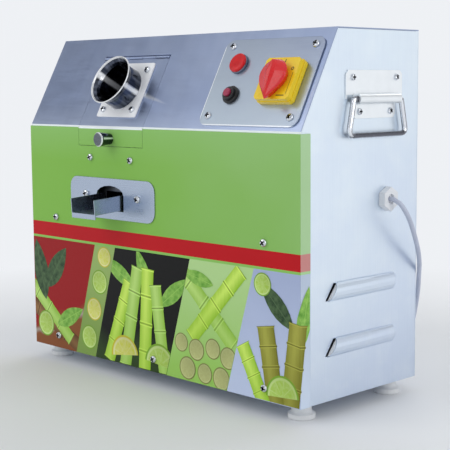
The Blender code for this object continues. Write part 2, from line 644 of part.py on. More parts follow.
def build_controls():
    middle = CONTROL_LOW + CONTROL_H / 2
    outer = CONTROL_T + GAP
    plate = add_object("control_plate", prism(rounded(CONTROL_X, middle, CONTROL_W, CONTROL_H,
                                                      CONTROL_CORNER), GAP, outer), STEEL,
                       SLOPE_FRAME)
    isolator = SLOPE_FRAME @ place(ISOLATOR_X, ISOLATOR_UP, 0)
    lamp = SLOPE_FRAME @ place(LAMP_X, LAMP_UP, 0)
    reset = SLOPE_FRAME @ place(RESET_X, RESET_UP, 0)
    cut(plate, rod(ISOLATOR_SHAFT_R + 0.002, -CUT, CUT, 24), isolator)
    cut(plate, rod(LAMP_BODY_R + GAP, -CUT, CUT, 24), lamp)
    cut(plate, rod(RESET_BODY_R + GAP, -CUT, CUT, 24), reset)

    seat = outer + GAP
    face = seat + ISOLATOR_T
    rim = ISOLATOR_SIDE - 0.002
    base = add_object("isolator_base", prism(rounded(0, 0, ISOLATOR_SIDE, ISOLATOR_SIDE,
                                                     ISOLATOR_CORNER, 1), seat,
                                             seat + ISOLATOR_STEP),
                      ((0.86, 0.66, 0.02), 0.35), isolator)
    unite(base, prism(rounded(0, 0, rim, rim, ISOLATOR_CORNER, 1), seat + 0.001, face), isolator)
    cut(base, rod(ISOLATOR_SHAFT_R + GAP, -CUT, face + CUT, 24), isolator)
    body = add_object("isolator_body", prism(rounded(0, 0, ISOLATOR_BODY_SIDE, ISOLATOR_BODY_SIDE,
                                                     0.004, 1), -ISOLATOR_BODY_L, 0), BLACK,
                      isolator)
    cut(body, rod(ISOLATOR_SHAFT_R + GAP, -ISOLATOR_BODY_L / 2, CUT, 24), isolator)
    handle = add_object("isolator_handle", teardrop_handle(face + GAP), ((0.78, 0.05, 0.04), 0.30),
                        isolator, True)
    unite(handle, rod(ISOLATOR_SHAFT_R, -ISOLATOR_BODY_L / 2 + GAP, face + 0.002, 24), isolator)

    body = add_object("pilot_lamp_body", turned([(0, -LAMP_BODY_L), (LAMP_BODY_R, -LAMP_BODY_L),
                                                 (LAMP_BODY_R, seat), (LAMP_R, seat),
                                                 (LAMP_R, LAMP_OUT - 0.001),
                                                 (LAMP_R - 0.001, LAMP_OUT), (0, LAMP_OUT)], 28),
                      ((0.45, 0.46, 0.48), 0.30, 1.0), lamp, True)
    low = LAMP_OUT + GAP
    add_object("pilot_lamp_lens", turned([(0, low), (LENS_R, low), (LENS_R, low + 0.55 * LENS_T),
                                          (LENS_R - 0.0015, low + 0.85 * LENS_T),
                                          (LENS_R - 0.006, low + LENS_T), (0, low + LENS_T)], 28),
               ((0.80, 0.03, 0.03), 0.20), lamp, True)

    nut = seat + RESET_NUT_T
    collar = nut + RESET_COLLAR_T
    well = collar - BUTTON_TRAVEL - 2 * GAP
    bore = BUTTON_R + GAP
    add_object("reset_body", turned([(0, -RESET_BODY_L), (RESET_BODY_R, -RESET_BODY_L),
                                     (RESET_BODY_R, seat), (RESET_R, seat),
                                     (RESET_R, nut - 0.001), (RESET_R - 0.001, nut),
                                     (RESET_COLLAR_R, nut), (RESET_COLLAR_R, collar - 0.0008),
                                     (RESET_COLLAR_R - 0.0008, collar), (bore, collar),
                                     (bore, well), (0, well)], 24), BLACK, reset, True)
    low = well + BUTTON_TRAVEL + GAP
    high = collar + BUTTON_OUT
    add_object("reset_button", turned([(0, 0), (BUTTON_R, 0), (BUTTON_R, high - low - 0.0012),
                                       (BUTTON_R - 0.0012, high - low), (0, high - low)], 24),
               ((0.45, 0.05, 0.10), 0.35), reset @ place(0, 0, low), True)


def teardrop(radius, tip, squeeze=1.0):
    """Round above and pointed below: an arc, then straight flanks to the tip."""
    reach = math.acos(radius / tip)
    points = []
    for step in range(17):
        angle = reach - math.pi / 2 + (2 * math.pi - 2 * reach) * step / 16
        points.append((squeeze * radius * math.cos(angle), radius * math.sin(angle)))
    return points + [(-0.0015 * squeeze, 0.0015 - tip), (0, -tip), (0.0015 * squeeze, 0.0015 - tip)]


def teardrop_handle(low):
    """Isolator handle: a teardrop that narrows to a ridge along its middle."""
    high = low + HANDLE_T
    layers = [(low, 0.80, 1.0, 0), (low + 0.0045, 0.90, 1.0, 0), (high - 0.0030, 1.0, 1.0, 0),
              (high, 0.93, 0.96, 0.0015), (high + 0.6 * HANDLE_RIDGE, 0.84, 0.42, 0.0040),
              (high + HANDLE_RIDGE, 0.76, 0.18, 0.0055)]
    bm = bmesh.new()
    rings = []
    for height, share, squeeze, dip in layers:
        outline_points = teardrop(HANDLE_R * share, HANDLE_TIP * share, squeeze)
        rings.append([bm.verts.new((x, y, height - dip * max(0.0, -y / HANDLE_TIP)))
                      for x, y in outline_points])
    for first, second in zip(rings, rings[1:]):
        for i, vert in enumerate(first):
            j = (i + 1) % len(first)
            bm.faces.new((vert, first[j], second[j], second[i]))
    bm.faces.new(rings[0])
    bm.faces.new(rings[-1][::-1])
    return bm


def build_handle(hand, side):
    """A folding chest handle: a plate with a rolled sleeve, and the bail that turns in it."""
    frame = side_frame(side) @ place(side * (FRONT + GRIP_Y), BOTTOM + GRIP_PIN_Z, 0)
    upper = [(-GRIP_TOP_W / 2, 0), (GRIP_TOP_W / 2, 0), (GRIP_TOP_W / 2, GRIP_TOP_H - 0.005),
             (GRIP_TOP_W / 2 - 0.005, GRIP_TOP_H), (0.005 - GRIP_TOP_W / 2, GRIP_TOP_H),
             (-GRIP_TOP_W / 2, GRIP_TOP_H - 0.005)]
    plate_top = GRIP_PLATE_T + GAP
    plate = add_object(f"handle_plate_{hand}", prism(upper, GAP, plate_top), BRIGHT, frame)
    half = GRIP_LOW_W / 2
    unite(plate, prism([(half, 0.002), (-half, 0.002), (-half, 0.005 - GRIP_LOW_H),
                        (0.005 - half, -GRIP_LOW_H), (half - 0.005, -GRIP_LOW_H),
                        (half, 0.005 - GRIP_LOW_H)], GAP, plate_top), frame)
    sleeve = frame @ place(0, 0, GRIP_OUT) @ Matrix.Rotation(math.pi / 2, 4, "Y")
    half = GRIP_SLEEVE_W / 2
    unite(plate, rod(GRIP_SLEEVE_R, -half, half, 20), sleeve)
    cut(plate, rod(BAIL_R + GAP, -half - CUT, half + CUT, 16), sleeve)
    relief = [(-BAIL_TOP - 2 * BAIL_R, -CUT), (-half - GAP, -CUT), (-half - GAP, BAIL_R + 0.001),
              (-BAIL_TOP - 2 * BAIL_R, BAIL_R + 0.001)]
    cut(plate, prism(relief, -CUT, plate_top + CUT), frame)
    cut(plate, prism([(-x, y) for x, y in relief], -CUT, plate_top + CUT), frame)
    build_bail(f"handle_bail_{hand}", frame @ place(0, 0, GRIP_OUT))


def build_bail(name, frame):
    """A closed ring of round bar: the top bar turns in the sleeve, the lower bar is the grip."""
    corners = [(-BAIL_TOP, 0), (BAIL_TOP, 0), (BAIL_FOOT, -BAIL_DROP), (-BAIL_FOOT, -BAIL_DROP)]
    path = []
    for i, corner in enumerate(corners):
        before = Vector(corners[i - 1]) - Vector(corner)
        after = Vector(corners[(i + 1) % 4]) - Vector(corner)
        bend = BAIL_BEND if corner[1] < 0 else BAIL_BEND / 2
        start = Vector(corner) + before.normalized() * bend
        end = Vector(corner) + after.normalized() * bend
        for step in range(5):
            t = step / 4
            spot = start * (1 - t) ** 2 + Vector(corner) * 2 * t * (1 - t) + end * t ** 2
            path.append((spot.x, spot.y))
    bm = bmesh.new()
    rings = []
    for i, spot in enumerate(path):
        ahead = Vector(path[(i + 1) % len(path)]) - Vector(path[i - 1])
        sideways = Vector((ahead.y, -ahead.x)).normalized()
        ring = []
        for k in range(10):
            angle = 2 * math.pi * k / 10
            across = sideways * BAIL_R * math.cos(angle)
            ring.append(bm.verts.new((spot[0] + across.x, spot[1] + across.y,
                                      BAIL_R * math.sin(angle))))
        rings.append(ring)
    for i, ring in enumerate(rings):
        following = rings[(i + 1) % len(rings)]
        for k in range(10):
            bm.faces.new((ring[k], ring[(k + 1) % 10], following[(k + 1) % 10], following[k]))
    add_object(name, bm, CHROME, frame, True)


def mill_inner():
    """Half the clear width between the mill plates."""
    return ROLLER_L / 2 + GAP + BUSH_FLANGE_T + GAP


def roller_places():
    """(y, z) of the top, front and rear rollers, from the line along which cane is fed."""
    feed_y, feed_z = slope_point(FEED_UP, -MILL_DEPTH)
    reach = TOP_ROLLER_R + FRONT_NIP / 2
    top = (feed_y + reach * math.sin(FRONT_LEAN), feed_z + reach * math.cos(FRONT_LEAN))
    front = (top[0] - PITCH_D * math.sin(FRONT_LEAN), top[1] - PITCH_D * math.cos(FRONT_LEAN))
    rear = (top[0] + PITCH_D * math.sin(REAR_LEAN), top[1] - PITCH_D * math.cos(REAR_LEAN))
    return top, front, rear


def involute_gear(phase):
    """Outline of a roller gear with a tooth centred on the given angle."""
    pitch_r = PITCH_D / 2
    base_r = pitch_r * math.cos(math.radians(20))
    tip_r = pitch_r + 0.85 * GEAR_MODULE
    root_r = pitch_r - 1.2 * GEAR_MODULE
    involute = math.tan(math.radians(20)) - math.radians(20)
    half_tooth = math.pi / 2 / GEAR_TEETH - GEAR_BACKLASH / 2 / pitch_r + involute
    flank = []
    for step in range(4):
        radius = base_r + (tip_r - base_r) * step / 3
        roll = math.acos(min(1.0, base_r / radius))
        flank.append((radius, half_tooth - (math.tan(roll) - roll)))
    flank = [(root_r, half_tooth + 0.02)] + flank
    points = []
    for tooth in range(GEAR_TEETH):
        middle = phase + 2 * math.pi * tooth / GEAR_TEETH
        for radius, angle in flank:
            points.append((radius * math.cos(middle - angle), radius * math.sin(middle - angle)))
        for radius, angle in flank[::-1]:
            points.append((radius * math.cos(middle + angle), radius * math.sin(middle + angle)))
    return points


def build_mill():
    """Three rollers in a pair of plates, geared together outside the left plate."""
    top, front, rear = roller_places()
    pitch = 2 * math.pi / GEAR_TEETH
    to_front = math.atan2(front[1] - top[1], front[0] - top[0])
    to_rear = math.atan2(rear[1] - top[1], rear[0] - top[0])
    rear_offset = (to_rear - to_front) % pitch
    left_in = FEED_X - mill_inner()
    left_out = left_in - PLATE_T
    right_out = FEED_X + mill_inner() + PLATE_T
    gear_high = left_out - GEAR_CLEAR
    gear_low = gear_high - GEAR_W
    sleeve_low = right_out + GEAR_CLEAR
    rollers = (("top", top, TOP_ROLLER_R, to_front, sleeve_low + SLEEVE_GRIP),
               ("front", front, FRONT_ROLLER_R, to_front + math.pi + pitch / 2,
                right_out + SHAFT_STUB),
               ("rear", rear, REAR_ROLLER_R, to_rear + math.pi + rear_offset + pitch / 2,
                right_out + SHAFT_STUB))
    for name, (y, z), radius, phase, shaft_end in rollers:
        half = ROLLER_L / 2
        frame = place(0, y, z) @ ACROSS
        low, high = FEED_X - half, FEED_X + half
        profile = [(0, gear_low - SHAFT_STUB), (SHAFT_R, gear_low - SHAFT_STUB), (SHAFT_R, low),
                   (radius - ROLLER_CHAMFER, low), (radius, low + ROLLER_CHAMFER),
                   (radius, high - ROLLER_CHAMFER), (radius - ROLLER_CHAMFER, high),
                   (SHAFT_R, high), (SHAFT_R, shaft_end), (0, shaft_end)]
        add_object(f"{name}_roller", turned(profile, 32), BRIGHT, frame, True)
        gear = add_object(f"{name}_gear", prism(involute_gear(phase), gear_low, gear_high),
                          MACHINED, frame)
        cut(gear, rod(SHAFT_R + SHAFT_PLAY, gear_low - CUT, gear_high + CUT, 32), frame)
        build_bushes(name, frame, left_in, left_out, right_out)

    plate = [(front[0] - PLATE_MARGIN_Y, BOTTOM + SHELF_H + GAP),
             (rear[0] + PLATE_MARGIN_Y, BOTTOM + SHELF_H + GAP),
             (rear[0] + PLATE_MARGIN_Y, rear[1] + PLATE_MARGIN_Z),
             (top[0] + PLATE_MARGIN_Z, top[1] + PLATE_MARGIN_Z),
             (top[0] - PLATE_MARGIN_Z * 0.7, top[1] + PLATE_MARGIN_Z),
             (front[0] - PLATE_MARGIN_Y, front[1] + PLATE_MARGIN_Z * 0.6)]
    for name, low in (("left", left_out), ("right", right_out - PLATE_T)):
        wall = add_object(f"mill_plate_{name}", prism(plate, low, low + PLATE_T), MACHINED, ACROSS)
        for y, z in (top, front, rear):
            cut(wall, rod(BUSH_R + GAP, low - CUT, low + PLATE_T + CUT, 24), place(0, y, z) @ ACROSS)

    build_trash_plate(top)
    build_chute(rear)
    return top, sleeve_low, gear_low, right_out


def build_bushes(name, frame, left_in, left_out, right_out):
    bore = SHAFT_R + SHAFT_PLAY
    flange = GAP + BUSH_FLANGE_T
    inner, outer = left_in + GAP, left_out
    profile = [(bore, outer), (BUSH_R, outer), (BUSH_R, inner), (BUSH_FLANGE_R, inner),
               (BUSH_FLANGE_R, left_in + flange), (bore, left_in + flange)]
    brass = ((0.70, 0.48, 0.20), 0.35, 1.0)
    add_object(f"{name}_bush_left", turned(profile, 24, True), brass, frame, True)
    middle = FEED_X
    mirrored = [(radius, 2 * middle - x) for radius, x in profile]
    add_object(f"{name}_bush_right", turned(mirrored, 24, True), brass, frame, True)


def build_trash_plate(top):
    """The curved bar that carries cane from the first nip to the second."""
    inner = TOP_ROLLER_R + TRASH_RISE
    outer = inner + TRASH_T
    start, end = -math.radians(26), math.radians(1)
    arc = [start + (end - start) * i / 4 for i in range(5)]
    points = [(top[0] + inner * math.sin(a), top[1] - inner * math.cos(a)) for a in arc]
    points += [(top[0] + outer * math.sin(a * 0.75 - 0.05), top[1] - outer * math.cos(a * 0.75 - 0.05))
               for a in arc[::-1]]
    half = mill_inner() - GAP
    add_object("trash_plate", prism(points, FEED_X - half, FEED_X + half), MACHINED, ACROSS)


def chute_start(rear):
    angle = math.radians(58)
    reach = REAR_ROLLER_R + 2 * GAP
    return rear[0] + reach * math.cos(angle), rear[1] + reach * math.sin(angle)


def build_chute(rear):
    """Scraper edge on the rear roller, then a plate that leads the bagasse out at the back."""
    y, z = chute_start(rear)
    high = z + CHUTE_RISE
    half = mill_inner() - BUSH_FLANGE_T - 3 * GAP
    edge = BACK - 0.006
    out_y, out_z = BACK + CHUTE_REACH, high - CHUTE_DROP
    points = [(y, z), (edge, high), (BACK + 0.004, high), (out_y, out_z),
              (out_y, out_z - CHUTE_T), (BACK + 0.003, high - CHUTE_T),
              (edge, high - CHUTE_T), (y + 0.002, z - CHUTE_T)]
    add_object("bagasse_chute", prism(points, FEED_X - half, FEED_X + half), STEEL, ACROSS)


def build_frame(gear_low):
    """A shelf on four angle legs, which carries the mill, tray and gearbox."""
    low_x = gear_low - SHELF_MARGIN
    high_x = GEARBOX_X + GEARBOX_L
    front, back = FRONT + SHELF_FRONT, BACK - SHELF_BACK
    top = BOTTOM + SHELF_H
    foot = BOTTOM + BASE_T + GAP
    frame = add_object("support_frame", block(low_x, high_x, front, back, top - SHELF_T, top),
                       ((0.35, 0.36, 0.38), 0.5, 0.6))
    for x, x_in in ((low_x, 1), (high_x, -1)):
        for y, y_in in ((front, 1), (back, -1)):
            leg = [(x, y), (x + x_in * LEG_SIDE, y), (x + x_in * LEG_SIDE, y + y_in * LEG_T),
                   (x + x_in * LEG_T, y + y_in * LEG_T), (x + x_in * LEG_T, y + y_in * LEG_SIDE),
                   (x, y + y_in * LEG_SIDE)]
            unite(frame, prism(leg, foot, top - SHELF_T / 2))


def groove_profile(radius, low, bore_r, shaft_low):
    """A V pulley on its shaft, along local z."""
    middle = low + PULLEY_W / 2
    rim = radius + BELT_H / 2 + 0.0015
    root = radius - BELT_H / 2 - 2 * GAP
    wide = BELT_W / 2 + 2 * GAP
    narrow = BELT_INNER_W / 2 + 2 * GAP
    slope = (wide - narrow) / BELT_H
    top = wide + slope * 0.0015
    deep = narrow - slope * 2 * GAP
    return [(0, shaft_low), (bore_r, shaft_low), (bore_r, low), (rim, low), (rim, middle - top),
            (root, middle - deep), (root, middle + deep), (rim, middle + top),
            (rim, low + PULLEY_W), (0, low + PULLEY_W)]


def belt_loop(radius_high, radius_low, span, shift):
    """Outline round two circles, the upper one at the origin and the lower one below it."""
    lean = math.asin((radius_high - radius_low) / span)
    points = []
    for i in range(13):
        angle = -lean + (math.pi + 2 * lean) * i / 12
        points.append(((radius_high + shift) * math.cos(angle), (radius_high + shift) * math.sin(angle)))
    for i in range(11):
        angle = math.pi + lean + (math.pi - 2 * lean) * i / 10
        points.append(((radius_low + shift) * math.cos(angle),
                       (radius_low + shift) * math.sin(angle) - span))
    return points


def build_belt(name, frame, middle, span):
    bm = bmesh.new()
    loops = []
    for shift, half in ((BELT_H / 2, BELT_W / 2), (-BELT_H / 2, BELT_INNER_W / 2)):
        outline_points = belt_loop(GEARBOX_PULLEY_R, MOTOR_PULLEY_R, span, shift)
        for side in (-1, 1):
            loops.append([bm.verts.new((x, y, middle + side * half)) for x, y in outline_points])
    count = len(loops[0])
    outer_low, outer_high, inner_low, inner_high = loops
    for first, second in ((outer_low, outer_high), (outer_high, inner_high),
                          (inner_high, inner_low), (inner_low, outer_low)):
        for i in range(count):
            j = (i + 1) % count
            bm.faces.new((first[i], first[j], second[j], second[i]))
    add_object(name, bm, BLACK, frame, True)


def build_drive(top, sleeve_low):
    """Motor, belt, gearbox and the output shaft whose sleeve turns the top roller."""
    bore = SHAFT_R + SHAFT_PLAY
    sleeve_high = sleeve_low + SLEEVE_L
    shaft_high = GEARBOX_X + OUTPUT_SEAT
    solid_from = sleeve_low + SLEEVE_GRIP + GAP
    axis = place(0, top[0], top[1]) @ ACROSS
    add_object("gearbox_output_shaft",
               turned([(bore, sleeve_low), (SLEEVE_R, sleeve_low), (SLEEVE_R, sleeve_high),
                       (SHAFT_R, sleeve_high), (SHAFT_R, shaft_high), (0, shaft_high),
                       (0, solid_from), (bore, solid_from)], 32, True), MACHINED, axis, True)

    input_z = top[1] - GEARBOX_DROP
    face = GEARBOX_X + GEARBOX_L
    half = GEARBOX_D / 2
    gearbox = add_object("gearbox", block(GEARBOX_X, face, top[0] - half, top[0] + half,
                                          BOTTOM + SHELF_H + GAP, top[1] + GEARBOX_ABOVE),
                         ((0.10, 0.16, 0.22), 0.5), None)
    bevel = gearbox.modifiers.new("Bevel", "BEVEL")
    bevel.width = 0.006
    bevel.segments = 1
    cut(gearbox, rod(bore, GEARBOX_X - CUT, shaft_high + GAP, 32), axis)
    input_axis = place(0, top[0], input_z) @ ACROSS
    cut(gearbox, rod(INPUT_R + SHAFT_PLAY, face - INPUT_SEAT - GAP, face + CUT, 24), input_axis)
    pulley_low = face + PULLEY_GAP
    add_object("gearbox_pulley", turned(groove_profile(GEARBOX_PULLEY_R, pulley_low, INPUT_R,
                                                       face - INPUT_SEAT), 32),
               MACHINED, input_axis, True)

    motor_z = BOTTOM + BASE_T + GAP + MOTOR_FOOT_H + MOTOR_R
    motor_axis = place(0, top[0], motor_z) @ ACROSS
    body_high = face
    body_low = body_high - MOTOR_L
    cowl_low = body_low - MOTOR_COWL_L
    shaft_bore = MOTOR_SHAFT_R + SHAFT_PLAY
    inner = MOTOR_R - MOTOR_COWL_T
    motor = add_object("motor", turned([(shaft_bore, body_high), (MOTOR_R * 0.62, body_high),
                                        (MOTOR_R, body_high - 0.018), (MOTOR_R, cowl_low),
                                        (inner, cowl_low), (inner, body_low),
                                        (shaft_bore, body_low)], 32, True),
                       ((0.12, 0.20, 0.28), 0.5), motor_axis, True)
    unite(motor, block(body_low + 0.020, body_high - 0.030, top[0] - MOTOR_FOOT_W / 2,
                       top[0] + MOTOR_FOOT_W / 2, BOTTOM + BASE_T + GAP,
                       motor_z - MOTOR_R * 0.80))
    profile = groove_profile(MOTOR_PULLEY_R, pulley_low, MOTOR_SHAFT_R, 0)
    fan_low = body_low - PULLEY_GAP - FAN_T
    rotor = [(0, fan_low), (FAN_R, fan_low), (FAN_R, fan_low + FAN_T),
             (MOTOR_SHAFT_R, fan_low + FAN_T)] + profile[2:]
    add_object("motor_rotor", turned(rotor, 32), MACHINED, motor_axis, True)
    build_belt("drive_belt", input_axis, pulley_low + PULLEY_W / 2, input_z - motor_z)


def hexagon(across):
    reach = across / math.sqrt(3)
    return [(reach * math.cos(math.pi * (i / 3 + 1 / 6)), reach * math.sin(math.pi * (i / 3 + 1 / 6)))
            for i in range(6)]


def build_gland(panel):
    """White cable gland through the right side panel, with its locknut inside."""
    frame = side_frame(1) @ place(FRONT + CORD_Y, BOTTOM + CORD_Z, 0)
    cut(panel, rod(GLAND_SHANK_R + GAP, -CUT, CUT, 24), frame)
    gland = add_object("cable_gland", prism(hexagon(GLAND_AF), GAP, GLAND_T), WHITE, frame)
    cut(gland, rod(GLAND_MOUTH_R, GLAND_T - GLAND_MOUTH_DEPTH, GLAND_T + CUT, 24), frame)
    unite(gland, rod(GLAND_SHANK_R, -GLAND_SHANK_L, 0.002, 24), frame)
    nut = add_object("gland_locknut", prism(hexagon(GLAND_AF), -SHEET - GAP - LOCKNUT_T,
                                            -SHEET - GAP), WHITE, frame)
    cut(nut, rod(GLAND_SHANK_R + GAP, -SHEET - LOCKNUT_T - CUT, 0, 24), frame)


def catmull_rom(route, spacing):
    """Points about the given distance apart on a smooth curve through the route."""
    points = []
    padded = [route[0] * 2 - route[1]] + route + [route[-1] * 2 - route[-2]]
    for a, b, c, d in zip(padded, padded[1:], padded[2:], padded[3:]):
        steps = max(1, round((c - b).length / spacing))
        for i in range(steps):
            t = i / steps
            points.append(0.5 * ((2 * b) + (c - a) * t + (2 * a - 5 * b + 4 * c - d) * t ** 2
                                 + (3 * b - a - 3 * c + d) * t ** 3))
    return points + [route[-1]]


def coil_points():
    """Two layers: spiralling in on the surface, then out again on top, at a steady rate."""
    layer_low = CORD_D / 2 + 0.0001
    half_turns = COIL_TURNS_IN
    outer = COIL_MEAN_R + COIL_STEP * half_turns / 2
    centre = Vector((COIL_X, BACK + COIL_BEHIND, 0))
    count = round(2 * half_turns * COIL_POINTS)
    points = []
    for i in range(count + 1):
        turn = i / COIL_POINTS
        radius = outer - COIL_STEP * min(turn, 2 * half_turns - turn)
        climb = min(1.0, max(0.0, (turn - half_turns + 0.25) / 0.5))
        angle = 2 * math.pi * turn
        points.append(centre + Vector((radius * math.cos(angle), radius * math.sin(angle),
                                       layer_low + COIL_STEP * climb)))
    first, last = points[0], points[-1]
    start = first + Vector((0, -CORD_D, 0))
    tangent = (last - points[-2]).normalized()
    end = last + tangent * CORD_D * 1.2
    return [start] + points + [end], tangent


def least_gap(points):
    """Smallest clear distance between stretches of the coil more than a half turn apart."""
    apart = COIL_POINTS // 2
    nearest = min((p - q).length for i, p in enumerate(points) for q in points[i + apart:])
    return nearest - CORD_D


def add_tube(name, points, resolution):
    curve = bpy.data.curves.new(name, "CURVE")
    curve.dimensions = "3D"
    curve.bevel_depth = CORD_D / 2
    curve.bevel_resolution = resolution
    curve.use_fill_caps = True
    spline = curve.splines.new("POLY")
    spline.points.add(len(points) - 1)
    for knot, point in zip(spline.points, points):
        knot.co = (*point, 1.0)
    curve.materials.append(make_material(name, *CORD_GREY))
    obj = bpy.data.objects.new(name, curve)
    bpy.context.scene.collection.objects.link(obj)
    return obj


def build_cord():
    """The lead: out of the gland, down behind the cabinet and into a coil beside its plug."""
    exit_x = SIDE_X + GLAND_T - GLAND_MOUTH_DEPTH + GAP
    exit_y = FRONT + CORD_Y
    exit_z = BOTTOM + CORD_Z
    coil, tangent = coil_points()
    start = coil[0]
    floor = CORD_D / 2 + 0.0001
    route = [Vector((exit_x, exit_y, exit_z)),
             Vector((exit_x + 0.0060, exit_y, exit_z)),
             Vector((exit_x + 0.0150, exit_y + 0.0020, exit_z - 0.0050)),
             Vector((exit_x + 0.0205, exit_y + 0.0070, exit_z - 0.0155)),
             Vector((exit_x + 0.0225, exit_y + 0.0145, exit_z - 0.0285)),
             Vector((exit_x + 0.0205, exit_y + 0.0245, exit_z - 0.0435)),
             Vector((exit_x + 0.0160, exit_y + 0.0370, exit_z - 0.0590)),
             Vector((exit_x + 0.0095, BACK - 0.0170, exit_z - 0.0750)),
             Vector((exit_x + 0.0010, BACK - 0.0030, exit_z - 0.0930)),
             Vector((exit_x - 0.0100, BACK + 0.0110, exit_z - 0.1130)),
             Vector((exit_x - 0.0205, BACK + 0.0235, exit_z - 0.1360)),
             Vector((exit_x - 0.0310, BACK + 0.0325, exit_z - 0.1620)),
             Vector((exit_x - 0.0400, BACK + 0.0370, exit_z - 0.1900)),
             Vector((exit_x - 0.0470, BACK + 0.0380, floor + 0.0520)),
             Vector((exit_x - 0.0545, BACK + 0.0362, floor + 0.0300)),
             Vector((exit_x - 0.0660, BACK + 0.0332, floor + 0.0125)),
             Vector((exit_x - 0.0825, BACK + 0.0292, floor + 0.0020)),
             Vector((start.x + 0.0270, start.y - 0.0330, floor)),
             Vector((start.x + 0.0135, start.y - 0.0294, floor)),
             Vector((start.x + 0.0036, start.y - 0.0195, floor)),
             Vector((start.x, start.y - 0.0060, floor)),
             Vector((start.x, start.y - GAP, floor))]
    add_tube("power_cord", catmull_rom(route, 2.2 * CORD_D), 2)
    add_tube("power_cord_coil", coil, 1)
    print(f"coil least gap {least_gap(coil[1:-1]) * 1000:.2f} mm")
    build_plug(coil[-1], tangent)


def build_plug(tip, tangent):
    """Three-pin plug lying flat at the end of the coil."""
    angle = math.atan2(tangent.y, tangent.x)
    frame = (Matrix.Translation(tip) @ Matrix.Rotation(angle, 4, "Z")
             @ Matrix.Rotation(math.pi / 2, 4, "Y"))
    flat = tip.z - 0.0002
    profile = [(0, GAP), (0.0050, GAP), (0.0058, 0.006), (0.0068, 0.016), (0.0095, 0.020),
               (PLUG_R, 0.028), (PLUG_R, PLUG_L - 0.001), (PLUG_R - 0.001, PLUG_L), (0, PLUG_L)]
    plug = add_object("power_plug", turned(profile, 24), BLACK, frame, True)
    for across, up in ((0.011, 0.004), (-0.011, 0.004), (0.0, -0.0045)):
        unite(plug, rod(PLUG_PIN_R, PLUG_L - 0.002, PLUG_L + PLUG_PIN_L, 12),
              frame @ place(-up, across, 0))
    level = Matrix.Translation(tip) @ Matrix.Rotation(angle, 4, "Z")
    cut(plug, block(-CUT, 2 * PLUG_L, -2 * PLUG_R, 2 * PLUG_R, -3 * PLUG_R, -flat), level)
    cut(plug, block(-CUT, 2 * PLUG_L, -2 * PLUG_R, 2 * PLUG_R, flat, 3 * PLUG_R), level)


def main():
    for obj in list(bpy.data.objects):
        bpy.data.objects.remove(obj, do_unlink=True)
    build_side_panel("side_panel_left", -1)
    panel = build_side_panel("side_panel_right", 1)
    build_upper_shell()
    build_front_cover()
    build_base()
    build_hatch()
    build_outlet()
    build_controls()
    build_handle("left", -1)
    build_handle("right", 1)
    top, sleeve_low, gear_low, right_out = build_mill()
    rear = roller_places()[2]
    build_back_panel(chute_start(rear)[1] + CHUTE_RISE)
    build_frame(gear_low)
    build_drive(top, sleeve_low)
    build_gland(panel)
    build_cord()


main()
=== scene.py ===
"""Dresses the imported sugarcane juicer: finishes, print, screws, lead, and a photo studio round it.

Object coordinates are world coordinates at rest, because every CAD node sits at the origin.
"""
import math

import bmesh
import bpy
from mathutils import Matrix, Vector


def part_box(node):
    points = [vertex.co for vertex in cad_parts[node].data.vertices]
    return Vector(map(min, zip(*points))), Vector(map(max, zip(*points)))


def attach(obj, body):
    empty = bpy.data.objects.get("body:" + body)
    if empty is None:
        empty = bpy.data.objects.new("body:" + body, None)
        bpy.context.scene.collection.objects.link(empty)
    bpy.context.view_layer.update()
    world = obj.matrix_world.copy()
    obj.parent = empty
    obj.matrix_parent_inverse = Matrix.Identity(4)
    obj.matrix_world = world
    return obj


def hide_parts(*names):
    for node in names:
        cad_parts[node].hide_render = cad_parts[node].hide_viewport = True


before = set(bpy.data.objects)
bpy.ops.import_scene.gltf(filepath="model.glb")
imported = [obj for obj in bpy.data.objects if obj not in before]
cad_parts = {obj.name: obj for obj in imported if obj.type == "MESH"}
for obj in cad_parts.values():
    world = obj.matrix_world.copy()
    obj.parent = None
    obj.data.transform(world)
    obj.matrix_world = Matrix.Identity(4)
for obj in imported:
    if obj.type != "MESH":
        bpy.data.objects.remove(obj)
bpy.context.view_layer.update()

# Places that the dressing shares with the CAD, read from the frame
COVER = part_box("front_cover")
FRONT = COVER[0][1]
BOTTOM = COVER[0][2]
FOLD_Z = COVER[1][2]
HALF_W = COVER[1][0]
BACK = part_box("back_panel")[1][1]
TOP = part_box("upper_shell")[1][2]
SLOPE_RUN = 0.070
SLOPE_RISE = TOP - FOLD_Z
SLOPE_LENGTH = math.hypot(SLOPE_RUN, SLOPE_RISE)
SLOPE_FRAME = (Matrix.Translation((0, FRONT, FOLD_Z))
               @ Matrix.Rotation(math.atan2(SLOPE_RISE, SLOPE_RUN), 4, "X"))
FRONT_FRAME = Matrix(((1, 0, 0, 0), (0, 0, -1, FRONT), (0, 1, 0, 0), (0, 0, 0, 1)))

# Places up the slope, and heights of faces above the sheet that they stand on
FEED_UP = 0.405 * SLOPE_LENGTH
MOUTH_OUT = 0.0347
PLATE_OUT = 0.0023
OUTLET_OUT = 0.0015
HANDLE_OUT = 0.0018
ISOLATOR_FACE = 0.0160
FLANGE_HOLE = 0.03175
SIDES = (("right", 1), ("left", -1))
SQUARE = ((-1, -1), (1, -1), (1, 1), (-1, 1))

# The print, by heights above the cover's lower edge and places across it
PANEL_TOP = 0.1685
BAND_LOW = 0.1720
BAND_HIGH = 0.1935
SLANT = 0.30
DIVIDERS = (-0.176, -0.129, 0.030, 0.150)
PRINT_EDGES = (-0.2795, 0.40)
PRINT_FLANGE = 0.0180
GREEN = (0.232, 0.500, 0.080)
GREEN_PALE = (0.290, 0.540, 0.165)
STEEL = (0.37, 0.44, 0.62)
# Painted highlight along the bend of the sheet at the fold
FOLD_HIGHLIGHT = (0.93, 0.98, 1.0)

